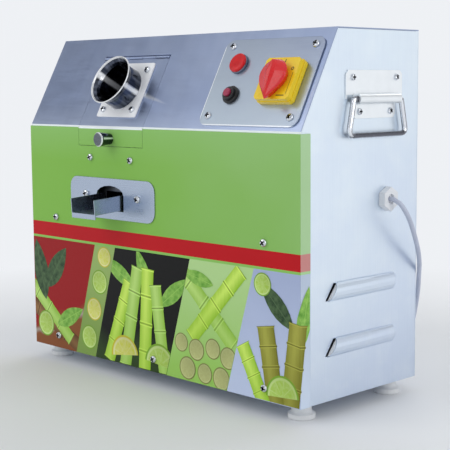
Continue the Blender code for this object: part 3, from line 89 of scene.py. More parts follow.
# The camera, fitted to the photograph's edges without a lens shift
PHOTO_PX = 450
FOCAL_PX = 1157.1
SENSOR_MM = 36.0
CAMERA_AT = (1.2144, -1.1481, 0.4199)
AZIMUTH = 0.79982
ELEVATION = 0.12001
ROLL = -0.00817

BACKDROP = (0.86, 0.88, 0.91)
FLOOR_REACH = 40.0


def side_frame(side):
    """Local x runs along the cabinet's depth, y upwards and z out of the side panel."""
    across = Matrix(((0, 0, 1, 0), (1, 0, 0, 0), (0, 1, 0, 0), (0, 0, 0, 1)))
    return (Matrix.Translation((side * (HALF_W - 0.0015), 0, 0))
            @ Matrix.Rotation(0 if side > 0 else math.pi, 4, "Z") @ across)


def hands(name):
    return [f"{name}_left", f"{name}_right"]


def box_middle(node):
    low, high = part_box(node)
    return (Vector(low) + Vector(high)) / 2


# Shader helpers

class Shader:
    """A new material and short calls for its nodes."""

    def __init__(self, name):
        self.material = bpy.data.materials.new(name)
        self.material.use_nodes = True
        self.tree = self.material.node_tree
        self.surface = self.tree.nodes["Principled BSDF"]
        self.place = self.node("ShaderNodeTexCoord")

    def node(self, kind, inputs=None, **settings):
        made = self.tree.nodes.new(kind)
        for key, value in settings.items():
            setattr(made, key, value)
        for key, value in (inputs or {}).items():
            self.feed(made.inputs[key], value)
        return made

    def link(self, source, target):
        self.tree.links.new(source, target)

    def feed(self, socket, value):
        if isinstance(value, bpy.types.NodeSocket):
            self.link(value, socket)
        elif isinstance(value, tuple) and len(value) == 3 and socket.type == "RGBA":
            socket.default_value = (*value, 1.0)
        else:
            socket.default_value = value

    def scaled(self, scale, source="Object"):
        inputs = {"Vector": self.place.outputs[source], "Scale": scale}
        return self.node("ShaderNodeMapping", inputs).outputs["Vector"]

    def noise(self, scale, detail=3.0, roughness=0.5, source="Object"):
        """Noise from 0 to 1, with its own scale along each axis in waves a metre."""
        if not isinstance(scale, tuple):
            scale = (scale, scale, scale)
        inputs = {"Vector": self.scaled(scale, source), "Scale": 1.0, "Detail": detail,
                  "Roughness": roughness}
        return self.node("ShaderNodeTexNoise", inputs).outputs["Fac"]

    def spread(self, value, low, high, start=0.3, end=0.7):
        """Stretch a value from start..end to low..high."""
        inputs = {"Value": value, "From Min": start, "From Max": end, "To Min": low,
                  "To Max": high}
        return self.node("ShaderNodeMapRange", inputs).outputs["Result"]

    def math(self, operation, first, second=0.0):
        return self.node("ShaderNodeMath", {0: first, 1: second}, operation=operation).outputs[0]

    def add(self, first, second):
        return self.math("ADD", first, second)

    def sub(self, first, second):
        return self.math("SUBTRACT", first, second)

    def mul(self, first, second):
        return self.math("MULTIPLY", first, second)

    def above(self, value, limit):
        """One where the value passes the limit, and zero elsewhere."""
        return self.math("GREATER_THAN", value, limit)

    def below(self, value, limit):
        return self.math("LESS_THAN", value, limit)

    def larger(self, first, second):
        return self.math("MAXIMUM", first, second)

    def off_middle(self, x, y):
        """The distance of a point from the origin."""
        return self.math("SQRT", self.add(self.mul(x, x), self.mul(y, y)))

    def mix(self, factor, first, second):
        inputs = {"Factor": factor, 6: first, 7: second}
        return self.node("ShaderNodeMix", inputs, data_type="RGBA").outputs[2]

    def axis(self, name, source="Object"):
        inputs = {0: self.place.outputs[source]}
        return self.node("ShaderNodeSeparateXYZ", inputs).outputs[name]

    def band(self, value, low, high, soft):
        """One inside low..high and zero outside, with soft edges."""
        rise = self.spread(value, 0.0, 1.0, low - soft, low + soft)
        fall = self.spread(value, 1.0, 0.0, high - soft, high + soft)
        return self.mul(rise, fall)

    def fade(self, value, start, end, first, second):
        """Go from the first colour to the second as the value goes from start to end."""
        return self.mix(self.spread(value, 0.0, 1.0, start, end), first, second)

    def edges(self, radius):
        return self.node("ShaderNodeBevel", {"Radius": radius}, samples=4).outputs["Normal"]

    def bump(self, height, strength, distance, normal=None):
        inputs = {"Height": height, "Strength": strength, "Distance": distance}
        if normal is not None:
            inputs["Normal"] = normal
        return self.node("ShaderNodeBump", inputs).outputs["Normal"]

    def relief(self, height, strength, distance, edge):
        """A bump over edges that are rounded by the given radius."""
        return self.bump(height, strength, distance, self.edges(edge))

    def finish(self, **inputs):
        names = {"colour": "Base Color", "metal": "Metallic", "rough": "Roughness",
                 "normal": "Normal", "coat": "Coat Weight", "shine": "Specular IOR Level"}
        for key, value in inputs.items():
            self.feed(self.surface.inputs[names[key]], value)
        return self.material


def dimmed(colour, share):
    return tuple(min(1.0, part * share) for part in colour)


def brushed_steel(name, colour, grain, rough=0.30, smudge=0.05):
    """Ground stainless sheet. grain gives the waves a metre along x, y and z."""
    shader = Shader(name)
    lines = shader.noise(grain, 4.0, 0.6)
    cloud = shader.noise(9.0, 3.0, 0.55)
    prints = shader.noise(34.0, 5.0, 0.6)
    tone = shader.mix(shader.spread(lines, 0.0, 0.16), colour, dimmed(colour, 0.55))
    tone = shader.mix(shader.spread(cloud, 0.0, 0.20), tone, dimmed(colour, 0.82))
    base = shader.spread(lines, rough - 0.05, rough + 0.07)
    patchy = shader.spread(prints, -smudge, smudge, 0.35, 0.65)
    return shader.finish(colour=tone, metal=1.0, rough=shader.add(base, patchy),
                         normal=shader.relief(lines, 0.10, 0.0002, 0.0006))


def polished_steel(name, colour, rough=0.14, grain=(300.0, 300.0, 300.0)):
    shader = Shader(name)
    fine = shader.noise(grain, 3.0)
    cloud = shader.noise(40.0, 4.0)
    tone = shader.mix(shader.spread(cloud, 0.0, 0.25), colour, dimmed(colour, 0.75))
    return shader.finish(colour=tone, metal=1.0,
                         rough=shader.spread(cloud, rough - 0.04, rough + 0.08),
                         normal=shader.relief(fine, 0.04, 0.0001, 0.0005))


def plastic(name, colour, rough=0.4, grain=1800.0, depth=0.12, coat=0.0, wear=0.10):
    shader = Shader(name)
    fine = shader.noise(grain, 2.0)
    cloud = shader.noise(55.0, 4.0)
    tone = shader.mix(shader.spread(cloud, 0.0, wear), colour, dimmed(colour, 0.6))
    return shader.finish(colour=tone, rough=shader.spread(cloud, rough - 0.05, rough + 0.08),
                         normal=shader.bump(fine, depth, 0.0001, shader.edges(0.0006)), coat=coat)


def cast_paint(name, colour, rough=0.45):
    """Hammered machine paint over a casting."""
    shader = Shader(name)
    dimples = shader.noise(420.0, 2.0)
    dust = shader.noise(26.0, 5.0, 0.6)
    tone = shader.mix(shader.spread(dust, 0.0, 0.30, 0.45, 0.75), colour, (0.30, 0.29, 0.27))
    return shader.finish(colour=tone, rough=shader.spread(dust, rough - 0.1, rough + 0.2),
                         normal=shader.relief(dimples, 0.35, 0.0006, 0.0010))


def print_colour(shader):
    """The cover's printed ground: lime above, a red band, and four panels below it; the side flange
    is painted paler as painted light from the side lamp.
    """
    x, y, z = shader.axis("X"), shader.axis("Y"), shader.axis("Z")
    across = shader.add(x, shader.sub(y, FRONT))
    cloud = shader.noise((5.0, 5.0, 7.0), 2.0)
    height = shader.sub(z, BOTTOM)
    pale = shader.spread(shader.add(x, shader.spread(cloud, -0.12, 0.12)), 0.0, 1.0, -0.05, 0.32)
    lime = shader.mix(pale, GREEN, GREEN_PALE)
    lime = shader.mix(shader.spread(z, 0.0, 0.45, FOLD_Z - 0.05, FOLD_Z), lime,
                      (0.330, 0.600, 0.230))
    smoke = shader.noise((16.0, 16.0, 11.0), 3.0)
    rise = shader.add(height, shader.spread(smoke, -0.014, 0.014))
    lean = shader.sub(across, shader.mul(height, SLANT))
    ground = shader.add(rise, shader.mul(across, -0.25))
    first = shader.fade(ground, 0.092, 0.106, (0.250, 0.080, 0.024), (0.330, 0.008, 0.010))
    first = shader.mix(shader.band(ground, 0.086, 0.094, 0.004), first, (0.420, 0.360, 0.300))
    panels = (((0.02, 0.16), (0.330, 0.480, 0.150), (0.220, 0.350, 0.080)),
              ((0.015, 0.055), (0.004, 0.004, 0.004), (0.030, 0.060, 0.016)),
              ((0.02, 0.15), (0.460, 0.690, 0.290), (0.330, 0.600, 0.120)),
              ((0.01, 0.16), (0.400, 0.470, 0.680), (0.560, 0.640, 0.860)))
    lower = first
    for start, (span, high_tone, low_tone) in zip(DIVIDERS, panels):
        panel = shader.mix(shader.spread(rise, 1.0, 0.0, *span), high_tone, low_tone)
        lower = shader.mix(shader.above(lean, start), lower, panel)
    tone = shader.mix(shader.above(height, PANEL_TOP), lower, (0.270, 0.560, 0.120))
    red = shader.mix(shader.spread(cloud, 0.0, 1.0), (0.540, 0.004, 0.010), (0.460, 0.004, 0.010))
    tone = shader.mix(shader.above(height, BAND_LOW), tone, red)
    tone = shader.mix(shader.above(height, BAND_HIGH), tone, lime)
    # Painted light: the side flange is mixed towards a pale tint, as if lit by the side lamp.
    side = shader.above(y, FRONT + 0.0004)
    return shader.mix(shader.mul(side, 0.28), tone, (0.80, 0.92, 0.85))


def printed_cover():
    shader = Shader("printed_cover")
    ripple = shader.noise((14.0, 14.0, 9.0), 2.0)
    fine = shader.noise(160.0, 3.0)
    return shader.finish(colour=print_colour(shader), shine=0.16,
                         rough=shader.spread(fine, 0.32, 0.44),
                         normal=shader.relief(ripple, 0.08, 0.0015, 0.0009))


def slope_colour(shader, lines):
    """Blue-grey sheet with smudges, a painted sheen paler towards the fold, and a painted highlight
    streak running right from the feed tube.
    """
    cloud = shader.noise((7.0, 9.0, 9.0), 3.0)
    wiped = shader.noise((30.0, 6.0, 6.0), 3.0, 0.5)
    z = shader.axis("Z")
    steel = shader.mix(shader.spread(lines, 0.0, 0.07), STEEL, dimmed(STEEL, 0.55))
    steel = shader.mix(shader.spread(cloud, 0.0, 0.50), steel, (0.29, 0.36, 0.56))
    steel = shader.mix(shader.spread(wiped, 0.0, 0.16, 0.45, 0.75), steel, (0.62, 0.70, 0.86))
    # Painted sheen: paler towards the fold, standing in for lamp glare on the lower slope.
    near = shader.spread(z, 0.35, 0.0, FOLD_Z, FOLD_Z + 0.035)
    steel = shader.mix(near, steel, (0.66, 0.75, 0.95))
    # Painted highlight: a bright streak of reflected lamp light running right and down from the feed
    # tube's foot.
    past = shader.sub(shader.axis("X"), box_middle("feed_tube").x + 0.034)
    up = shader.mul(shader.sub(z, FOLD_Z), SLOPE_LENGTH / SLOPE_RISE)
    line = shader.sub(FEED_UP - 0.004, shader.mul(past, 0.27))
    off = shader.math("ABSOLUTE", shader.sub(up, line))
    off = shader.math("DIVIDE", off, shader.spread(past, 0.0058, 0.0012, 0.0, 0.066))
    streak = shader.mul(shader.spread(off, 0.75, 0.0, 0.2, 1.0),
                        shader.spread(past, 1.0, 0.0, 0.014, 0.066))
    streak = shader.mul(streak, shader.above(past, 0.0))
    return shader.mix(streak, steel, (0.95, 0.98, 1.0))


def fold_highlight(shader):
    """One along the polished fold between the slope and the front, where a pale, less metallic band
    is a painted highlight on the bend.
    """
    return shader.band(shader.axis("Z"), FOLD_Z - 0.0016, FOLD_Z + 0.0026, 0.0002)


def slope_sheet():
    shader = Shader("slope_sheet")
    lines = shader.noise((14.0, 900.0, 900.0), 4.0, 0.6)
    prints = shader.noise(34.0, 5.0, 0.6)
    rough = shader.add(shader.spread(lines, 0.30, 0.38),
                       shader.spread(prints, -0.02, 0.02, 0.35, 0.65))
    fold = fold_highlight(shader)
    tone = shader.mix(fold, slope_colour(shader, lines), FOLD_HIGHLIGHT)
    return shader.finish(colour=tone, metal=shader.spread(fold, 1.0, 0.2, 0.0, 1.0), rough=rough,
                         normal=shader.relief(lines, 0.06, 0.0002, 0.0003))


def control_sheet():
    """Satin plate with painted light: palest at its lower left and greyer towards its upper right as
    the lamp light falls, with painted highlights along its left and lower edges.
    """
    shader = Shader("control_sheet")
    lines = shader.noise((20.0, 1100.0, 1100.0), 4.0, 0.6)
    cloud = shader.noise((16.0, 22.0, 22.0), 3.0)
    x, z = shader.axis("X"), shader.axis("Z")
    # Painted shading: paler and less metallic towards the lower left, where the lamp light falls.
    lean = shader.add(shader.mul(x, 0.45), z)
    lean = shader.add(lean, shader.spread(cloud, -0.018, 0.018))
    tone = shader.fade(lean, 0.445, 0.585, (0.48, 0.56, 0.65), (0.32, 0.37, 0.49))
    tone = shader.mix(shader.spread(lines, 0.0, 0.18), tone, (0.50, 0.55, 0.62))
    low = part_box("control_plate")[0]
    # Painted highlight along the plate's left and lower edges.
    rim = shader.larger(shader.below(x, low[0] + 0.0013), shader.below(z, low[2] + 0.0022))
    tone = shader.mix(rim, tone, (0.94, 0.97, 1.0))
    return shader.finish(colour=tone, metal=shader.spread(lean, 0.62, 1.0, 0.445, 0.585),
                         rough=shader.spread(cloud, 0.26, 0.36),
                         normal=shader.relief(lines, 0.08, 0.0002, 0.0008))


def tube_steel():
    """Polished tube with painted light: painted highlight streaks along it, a painted dark
    reflection between them, a painted bright rim, on a flange painted pale and less metallic.
    """
    shader = Shader("tube_steel")
    middle = box_middle("feed_tube")
    frame_in = SLOPE_FRAME.inverted()
    rows = []
    for row in range(3):
        dot = shader.node("ShaderNodeVectorMath",
                          {0: shader.place.outputs["Object"], 1: frame_in[row][:3]},
                          operation="DOT_PRODUCT")
        rows.append(shader.add(dot.outputs["Value"], frame_in[row][3]))
    x = shader.sub(rows[0], middle.x)
    up = shader.sub(rows[1], FEED_UP)
    out = rows[2]
    angle = shader.math("ARCTAN2", up, x)
    streaks = shader.node("ShaderNodeCombineXYZ",
                          {0: shader.mul(angle, 3.2), 1: shader.mul(out, 12.0)})
    fine = shader.node("ShaderNodeTexNoise",
                       {"Vector": streaks.outputs[0], "Scale": 1.6, "Detail": 4.0}).outputs["Fac"]
    # Painted reflection: near-black tones for dark surroundings mirrored in the tube.
    dark = shader.mix(shader.spread(fine, 0.0, 1.0, 0.35, 0.75),
                      (0.022, 0.028, 0.042), (0.17, 0.19, 0.25))
    # Painted highlights: one streak outside and one inside the bore, at fixed angles round the tube.
    outer = shader.band(angle, -0.30, -0.08, 0.05)
    inner = shader.band(angle, 2.74, 3.02, 0.05)
    painted_glint = shader.larger(outer, inner)
    # Painted highlight along the mouth's rim.
    rim = shader.above(out, MOUTH_OUT - 0.0021)
    painted_glint = shader.larger(painted_glint, shader.mul(rim, 0.92))
    # The flange outside the tube is painted near-white and less metallic, a painted sheen.
    distance = shader.off_middle(x, up)
    flange = shader.mul(shader.below(out, 0.0028), shader.above(distance, 0.0320))
    painted_glint = shader.larger(painted_glint, flange)
    tone = shader.mix(painted_glint, dark, (0.97, 0.98, 1.0))
    metal = shader.sub(shader.spread(painted_glint, 1.0, 0.40, 0.0, 1.0), shader.mul(flange, 0.40))
    return shader.finish(colour=tone, metal=metal, rough=shader.spread(fine, 0.10, 0.22),
                         normal=shader.relief(fine, 0.03, 0.0004, 0.0010))


def knob_chrome():
    """Polished knob with painted light: a near-black painted reflection, a painted highlight ring at
    its tip and a painted highlight streak along its side.
    """
    shader = Shader("knob_chrome")
    middle = box_middle("hatch_knob")
    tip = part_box("hatch_knob")[0][1]
    angle = shader.math("ARCTAN2", shader.sub(shader.axis("Z"), middle.z),
                        shader.sub(shader.axis("X"), middle.x))
    out = shader.sub(shader.axis("Y"), tip)
    grain = shader.noise(260.0, 3.0)
    # Painted highlights: a streak along the upper side and a ring near the tip.
    streak = shader.mul(shader.band(angle, 0.02, 0.30, 0.12), shader.above(out, 0.0040))
    painted_glint = shader.larger(streak, shader.band(out, 0.0004, 0.0024, 0.0005))
    # Painted dark reflection over the rest of the knob.
    dark = shader.mix(shader.spread(grain, 0.0, 1.0), (0.030, 0.040, 0.055), (0.075, 0.095, 0.125))
    return shader.finish(colour=shader.mix(painted_glint, dark, (0.95, 0.97, 1.0)),
                         metal=shader.spread(painted_glint, 1.0, 0.3, 0.0, 1.0),
                         rough=shader.spread(grain, 0.06, 0.14),
                         normal=shader.relief(grain, 0.03, 0.0002, 0.0006))


def rod_chrome():
    """Plated rod: bright along the middle, with dark lines beside it that are a painted reflection
    of a round mirror.
    """
    shader = Shader("rod_chrome")
    grain = shader.noise(240.0, 3.0)
    rounded = shader.edges(0.0030)
    look = shader.node("ShaderNodeLayerWeight", {"Blend": 0.5, "Normal": rounded})
    facing = look.outputs["Facing"]
    # Painted reflection: dark bands where the view grazes the round surface.
    dark = shader.band(facing, 0.30, 0.62, 0.07)
    tone = shader.mix(shader.spread(grain, 0.0, 0.3), (0.86, 0.88, 0.92), (0.60, 0.63, 0.69))
    tone = shader.mix(shader.mul(dark, 0.88), tone, (0.040, 0.040, 0.062))
    return shader.finish(colour=tone, metal=1.0, rough=shader.spread(grain, 0.06, 0.14),
                         normal=shader.bump(grain, 0.03, 0.0001, rounded))


def side_sheet():
    """Pale satin panel, cloudy, with painted shade making it a little darker and bluer towards its
    lower back corner.
    """
    shader = Shader("side_sheet")
    lines = shader.noise((900.0, 900.0, 14.0), 4.0, 0.6)
    cloud = shader.noise((6.0, 6.0, 8.0), 4.0, 0.55)
    prints = shader.noise(26.0, 4.0, 0.55)
    # Painted shade: darker and bluer towards the lower back corner.
    low = shader.sub(shader.axis("Y"), shader.mul(shader.axis("Z"), 0.9))
    tone = shader.fade(low, -0.30, 0.10, (0.84, 0.93, 1.0), (0.64, 0.72, 0.86))
    tone = shader.mix(shader.spread(cloud, 0.0, 0.45), tone, (0.68, 0.76, 0.92))
    tone = shader.mix(shader.spread(prints, 0.0, 0.20, 0.45, 0.70), tone, (0.95, 1.0, 1.0))
    tone = shader.mix(shader.spread(lines, 0.0, 0.07), tone, (0.45, 0.50, 0.60))
    rough = shader.add(shader.spread(lines, 0.36, 0.42), shader.spread(prints, -0.03, 0.03))
    return shader.finish(colour=tone, metal=1.0, rough=rough,
                         normal=shader.relief(lines, 0.04, 0.0002, 0.0006))


def hatch_finish():
    """Steel on the slope and the cover's green print on the part that hangs over the front."""
    shader = Shader("hatch_sheet")
    lines = shader.noise((14.0, 900.0, 900.0), 4.0, 0.6)
    # slope_colour brings its painted sheen towards the fold and its painted highlight streak.
    steel = slope_colour(shader, lines)
    face = shader.below(shader.axis("Y"), FRONT + 0.0003)
    bare = shader.sub(1.0, face)
    tone = shader.mix(face, steel, print_colour(shader))
    # Painted highlight along the fold.
    fold = fold_highlight(shader)
    tone = shader.mix(fold, tone, FOLD_HIGHLIGHT)
    bare = shader.mul(bare, shader.spread(fold, 1.0, 0.2, 0.0, 1.0))
    shine = shader.spread(face, 0.5, 0.16, 0.0, 1.0)
    return shader.finish(colour=tone, metal=bare, rough=shader.spread(lines, 0.28, 0.38),
                         shine=shine, normal=shader.relief(lines, 0.05, 0.0002, 0.0003))


def ink_finish(shader, tone):
    return shader.finish(colour=tone, rough=0.38, shine=0.16)


def slice_ink(name, rim, pith, flesh):
    """A cut fruit or cane seen from its end: rind, pale ring, and segments round the middle."""
    shader = Shader(name)
    x = shader.sub(shader.axis("X", "UV"), 0.5)
    y = shader.sub(shader.axis("Y", "UV"), 0.5)
    distance = shader.off_middle(x, y)
    angle = shader.math("ARCTAN2", y, x)
    wedge = shader.math("ABSOLUTE", shader.math("SINE", shader.mul(angle, 4.5)))
    mottle = shader.noise(210.0, 4.0)
    tone = shader.mix(shader.spread(mottle, 0.0, 0.6), flesh, pith)
    tone = shader.mix(shader.spread(wedge, 0.9, 0.0, 0.0, 0.28), tone, pith)
    tone = shader.fade(distance, 0.38, 0.40, tone, pith)
    tone = shader.fade(distance, 0.44, 0.46, tone, rim)
    light = shader.spread(shader.add(x, y), 0.0, 0.35, -0.5, 0.5)
    return ink_finish(shader, shader.mix(light, tone, dimmed(flesh, 0.45)))


def stalk_ink(name, dark, light):
    """A round stem: bright along its middle, darker at its sides, with ringed joints."""
    shader = Shader(name)
    u, v = shader.axis("X", "UV"), shader.axis("Y", "UV")
    across = shader.math("ABSOLUTE", shader.sub(u, 0.42))
    fibre = shader.noise((420.0, 420.0, 22.0), 3.0)
    place = shader.add(across, shader.spread(fibre, -0.05, 0.05))
    tone = shader.fade(place, 0.05, 0.52, light, dark)
    ring = shader.math("FRACT", shader.add(shader.mul(v, 4.0), 0.5))
    ring = shader.math("ABSOLUTE", shader.sub(ring, 0.5))
    tone = shader.mix(shader.spread(ring, 0.75, 0.0, 0.005, 0.035), tone, dimmed(dark, 0.35))
    tone = shader.mix(shader.band(ring, 0.045, 0.075, 0.012), tone, dimmed(light, 1.2))
    return ink_finish(shader, shader.mix(shader.spread(v, 0.35, 0.0), tone, dark))


def leaf_ink(name, dark, light):
    """A leaf with a pale midrib and slanting veins."""
    shader = Shader(name)
    u, v = shader.axis("X", "UV"), shader.axis("Y", "UV")
    across = shader.math("ABSOLUTE", shader.sub(u, 0.5))
    mottle = shader.noise(130.0, 4.0)
    tone = shader.mix(shader.spread(mottle, 0.0, 1.0), dark, light)
    vein = shader.math("FRACT", shader.mul(shader.sub(v, across), 9.0))
    tone = shader.mix(shader.spread(vein, 0.45, 0.0, 0.0, 0.16), tone, light)
    tone = shader.mix(shader.spread(across, 0.9, 0.0, 0.010, 0.035), tone, light)
    return ink_finish(shader, tone)


def cord_sheath():
    shader = Shader("cord_sheath")
    fine = shader.noise(700.0, 2.0)
    cloud = shader.noise(60.0, 3.0)
    tone = shader.mix(shader.spread(cloud, 0.0, 0.3), (0.52, 0.56, 0.68), (0.36, 0.39, 0.48))
    return shader.finish(colour=tone, rough=0.42, normal=shader.bump(fine, 0.08, 0.0001))


def glass_lens():
    """Red lens with moulded rings that catch the light."""
    shader = Shader("lens_red")
    rings = shader.node("ShaderNodeTexWave",
                        {"Vector": shader.scaled((1.0, 1.0, 1.0), "Generated"), "Scale": 4.0},
                        wave_type="RINGS", rings_direction="SPHERICAL")
    cloud = shader.noise(120.0, 3.0)
    tone = shader.mix(shader.spread(cloud, 0.0, 0.5), (0.70, 0.008, 0.012), (0.38, 0.004, 0.008))
    return shader.finish(colour=tone, rough=0.22, shine=0.35,
                         normal=shader.relief(rings.outputs["Fac"], 0.25, 0.0008, 0.0008))


def paint(node, material):
    data = bpy.data.objects[node].data
    data.materials.clear()
    data.materials.append(material)


ACROSS_X = (14.0, 900.0, 900.0)
ALONG_Y = (900.0, 14.0, 900.0)

steel_plate = brushed_steel("steel_plate", (0.45, 0.52, 0.64), ACROSS_X, 0.27)
# Painted shade: near-black steel for the tray and chute, so the openings into them read as dark
# shade.
steel_inner_painted_shade = brushed_steel("steel_inner_painted_shade", (0.16, 0.17, 0.19), ALONG_Y, 0.42)
steel_polished = polished_steel("steel_polished", (0.50, 0.51, 0.54), 0.14)
steel_flange = polished_steel("steel_flange", (0.95, 0.98, 1.0), 0.36, (60.0, 300.0, 300.0))
steel_machined = polished_steel("steel_machined", (0.56, 0.57, 0.60), 0.28, (900.0, 60.0, 60.0))
screw_steel = polished_steel("screw_steel", (0.70, 0.73, 0.78), 0.10)
# Painted shade: near-black for the inside of the screws' cross recesses.
recess_painted_shade = polished_steel("recess_painted_shade", (0.004, 0.004, 0.005), 0.40)
# Painted highlight: white, non-metallic finish for the louvres' lips.
lip_painted_highlight = plastic("lip_painted_highlight", (0.90, 0.93, 0.98), 0.25, wear=0.05)
weld_steel = polished_steel("weld_steel", (0.62, 0.63, 0.66), 0.35, (700.0, 700.0, 700.0))
ink_black = plastic("ink_black", (0.012, 0.012, 0.014), 0.45, wear=0.0)
SCREW = (screw_steel, recess_painted_shade)
brass = polished_steel("brass", (0.72, 0.50, 0.22), 0.26)
paint_frame = cast_paint("paint_frame", (0.16, 0.17, 0.18), 0.5)
paint_drive = cast_paint("paint_drive", (0.045, 0.10, 0.15), 0.40)
paint_black = cast_paint("paint_black", (0.012, 0.012, 0.013), 0.4)
plastic_white = plastic("plastic_white", (0.74, 0.75, 0.76), 0.42)
plastic_gland = plastic("plastic_gland", (0.78, 0.80, 0.83), 0.38)
plastic_black = plastic("plastic_black", (0.010, 0.010, 0.012), 0.34, wear=0.0)
plastic_yellow = plastic("plastic_yellow", (0.90, 0.64, 0.012), 0.28, coat=0.3, wear=0.06)
plastic_red = plastic("plastic_red", (0.70, 0.008, 0.012), 0.24, coat=0.2, wear=0.10)
plastic_maroon = plastic("plastic_maroon", (0.36, 0.030, 0.080), 0.32)
rubber_belt = plastic("rubber_belt", (0.018, 0.018, 0.019), 0.62, 900.0, 0.5)
lamp_ring = polished_steel("lamp_ring", (0.16, 0.18, 0.24), 0.14)
lens_red = glass_lens()
sheath = cord_sheath()

FINISHES = {
    printed_cover(): ["front_cover"],
    hatch_finish(): ["feed_hatch"],
    slope_sheet(): ["upper_shell", "hatch_hinge_leaf"],
    control_sheet(): ["control_plate"],
    tube_steel(): ["feed_tube"],
    side_sheet(): [*hands("side_panel"), "back_panel", "base_plate"],
    steel_plate: ["outlet_plate", "juice_spout"],
    steel_inner_painted_shade: ["juice_tray", "bagasse_chute"],
    steel_polished: ["top_roller", "front_roller", "rear_roller", "hatch_hinge_pin"],
    steel_flange: hands("handle_plate"),
    steel_machined: [*hands("mill_plate"), "top_gear", "front_gear", "rear_gear", "trash_plate",
                     "gearbox_output_shaft", "gearbox_pulley", "motor_rotor"],
    rod_chrome(): hands("handle_bail"),
    knob_chrome(): ["hatch_knob"],
    brass: [*hands("top_bush"), *hands("front_bush"), *hands("rear_bush")],
    paint_frame: ["support_frame"],
    paint_drive: ["gearbox", "motor"],
    paint_black: ["hatch_catch"],
    plastic_white: [*hands("foot_front"), *hands("foot_rear")],
    plastic_gland: ["cable_gland", "gland_locknut"],
    plastic_black: ["isolator_body", "reset_body", "power_plug"],
    plastic_yellow: ["isolator_base"],
    plastic_red: ["isolator_handle"],
    plastic_maroon: ["reset_button"],
    rubber_belt: ["drive_belt"],
    lamp_ring: ["pilot_lamp_body"],
    lens_red: ["pilot_lamp_lens"],
}
for finish, nodes in FINISHES.items():
    for node in nodes:
        paint(node, finish)


# Mesh helpers

def put(name, data):
    made = bpy.data.objects.new(name, data)
    bpy.context.scene.collection.objects.link(made)
    return made


def add_piece(name, bm, material, body="cabinet", smooth=True, solid=True):
    """Turn the mesh into a piece that rides on a body. A flat print keeps its faces' sides."""
    if solid:
        bmesh.ops.recalc_face_normals(bm, faces=bm.faces)
    mesh = bpy.data.meshes.new(name)
    bm.to_mesh(mesh)
    bm.free()
    if smooth:
        mesh.shade_smooth()
        mesh.set_sharp_from_angle(angle=math.radians(35))
    for each in material if isinstance(material, tuple) else (material,):
        mesh.materials.append(each)
    piece = put(name, mesh)
    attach(piece, body)
    return piece


def around(count):
    """Directions as (cosine, sine), evenly round a circle."""
    angles = [2 * math.pi * i / count for i in range(count)]
    return [(math.cos(angle), math.sin(angle)) for angle in angles]


def add_ring_stack(bm, rings, closed=False):
    """Skin a stack of equal rings of points, with a face over each end."""
    made = [[bm.verts.new(point) for point in ring] for ring in rings]
    pairs = list(zip(made, made[1:]))
    if closed:
        pairs.append((made[-1], made[0]))
    for first, second in pairs:
        for i, vert in enumerate(first):
            j = (i + 1) % len(first)
            bm.faces.new((vert, first[j], second[j], second[i]))
    if not closed:
        bm.faces.new(made[0])
        bm.faces.new(made[-1][::-1])


def screw(bm, place, radius, height):
    """Pan head with a cross recess, seated on the surface."""
    arm, thin = 0.70 * radius, 0.20 * radius
    corners = [(cos * x - sin * y, sin * x + cos * y)
               for cos, sin in ((1, 0), (0, 1), (-1, 0), (0, -1))
               for x, y in ((arm, -thin), (arm, thin), (thin, thin))]
    rings = []
    for share, level in ((1.0, 0.0), (1.0, 0.30), (0.93, 0.62), (0.80, 0.85)):
        ring = []
        for x, y in corners:
            spot = Vector((x, y, 0)).normalized() * radius * share
            ring.append(place @ Vector((spot.x, spot.y, height * level)))
        rings.append(ring)
    for level in (1.0, 0.25):
        rings.append([place @ Vector((x, y, height * level)) for x, y in corners])
    add_ring_stack(bm, rings)
    # The last faces are the recess's walls, the seat, and the recess's floor, which take the
    # near-black painted shade
    for face in list(bm.faces)[-len(corners) - 2:]:
        face.material_index = 1


def at(base, x, y, turn, lift):
    return base @ Matrix.Translation((x, y, lift)) @ Matrix.Rotation(turn, 4, "Z")


def screw_set(name, base, spots, turns, lift, size, body="cabinet"):
    """Screws of a (radius, height) size at the spots, each turned further than the last."""
    first, step = turns
    bm = bmesh.new()
    for i, (x, y) in enumerate(spots):
        screw(bm, at(base, x, y, first + step * i, lift), *size)
    add_piece(name, bm, SCREW, body)


def above_bottom(spots, shift=0.0):
    """Places from (x, height above the cabinet's lower edge) pairs."""
    return [(x + shift, BOTTOM + height) for x, height in spots]


def build_screws():
    tube = box_middle("feed_tube")
    screw_set("flange_screws", SLOPE_FRAME,
              [(tube.x + x * FLANGE_HOLE, FEED_UP + y * FLANGE_HOLE) for x, y in SQUARE],
              (0.0, 0.4), PLATE_OUT, (0.0050, 0.0034), "hatch")
    screw_set("control_plate_screws", SLOPE_FRAME,
              ((0.1115, 0.0209), (0.2563, 0.0206), (0.2563, 0.1226), (0.1113, 0.1229)),
              (0.2, 0.5), PLATE_OUT, (0.0053, 0.0034))
    screw_set("cover_screws", FRONT_FRAME,
              above_bottom(((-0.2175, 0.203), (0.219, 0.203), (-0.218, 0.0195), (0.004, 0.0187),
                            (0.219, 0.0167), (-0.130, 0.297), (-0.0397, 0.2955))),
              (0.0, 0.7), 0.0, (0.0054, 0.0040))
    screw_set("outlet_screws", FRONT_FRAME,
              above_bottom(((-0.1405, 0.2438), (-0.024, 0.2417))),
              (0.3, 0.9), OUTLET_OUT, (0.0056, 0.0040))
    for hand, side in SIDES:
        middle = box_middle(f"handle_plate_{hand}")
        screw_set(f"handle_screws_{hand}", side_frame(side),
                  above_bottom(((-0.044, 0.408), (0.044, 0.408), (-0.031, 0.3647),
                                (0.031, 0.3647)), side * middle.y),
                  (0.0, 0.8), HANDLE_OUT, (0.0044, 0.0030))


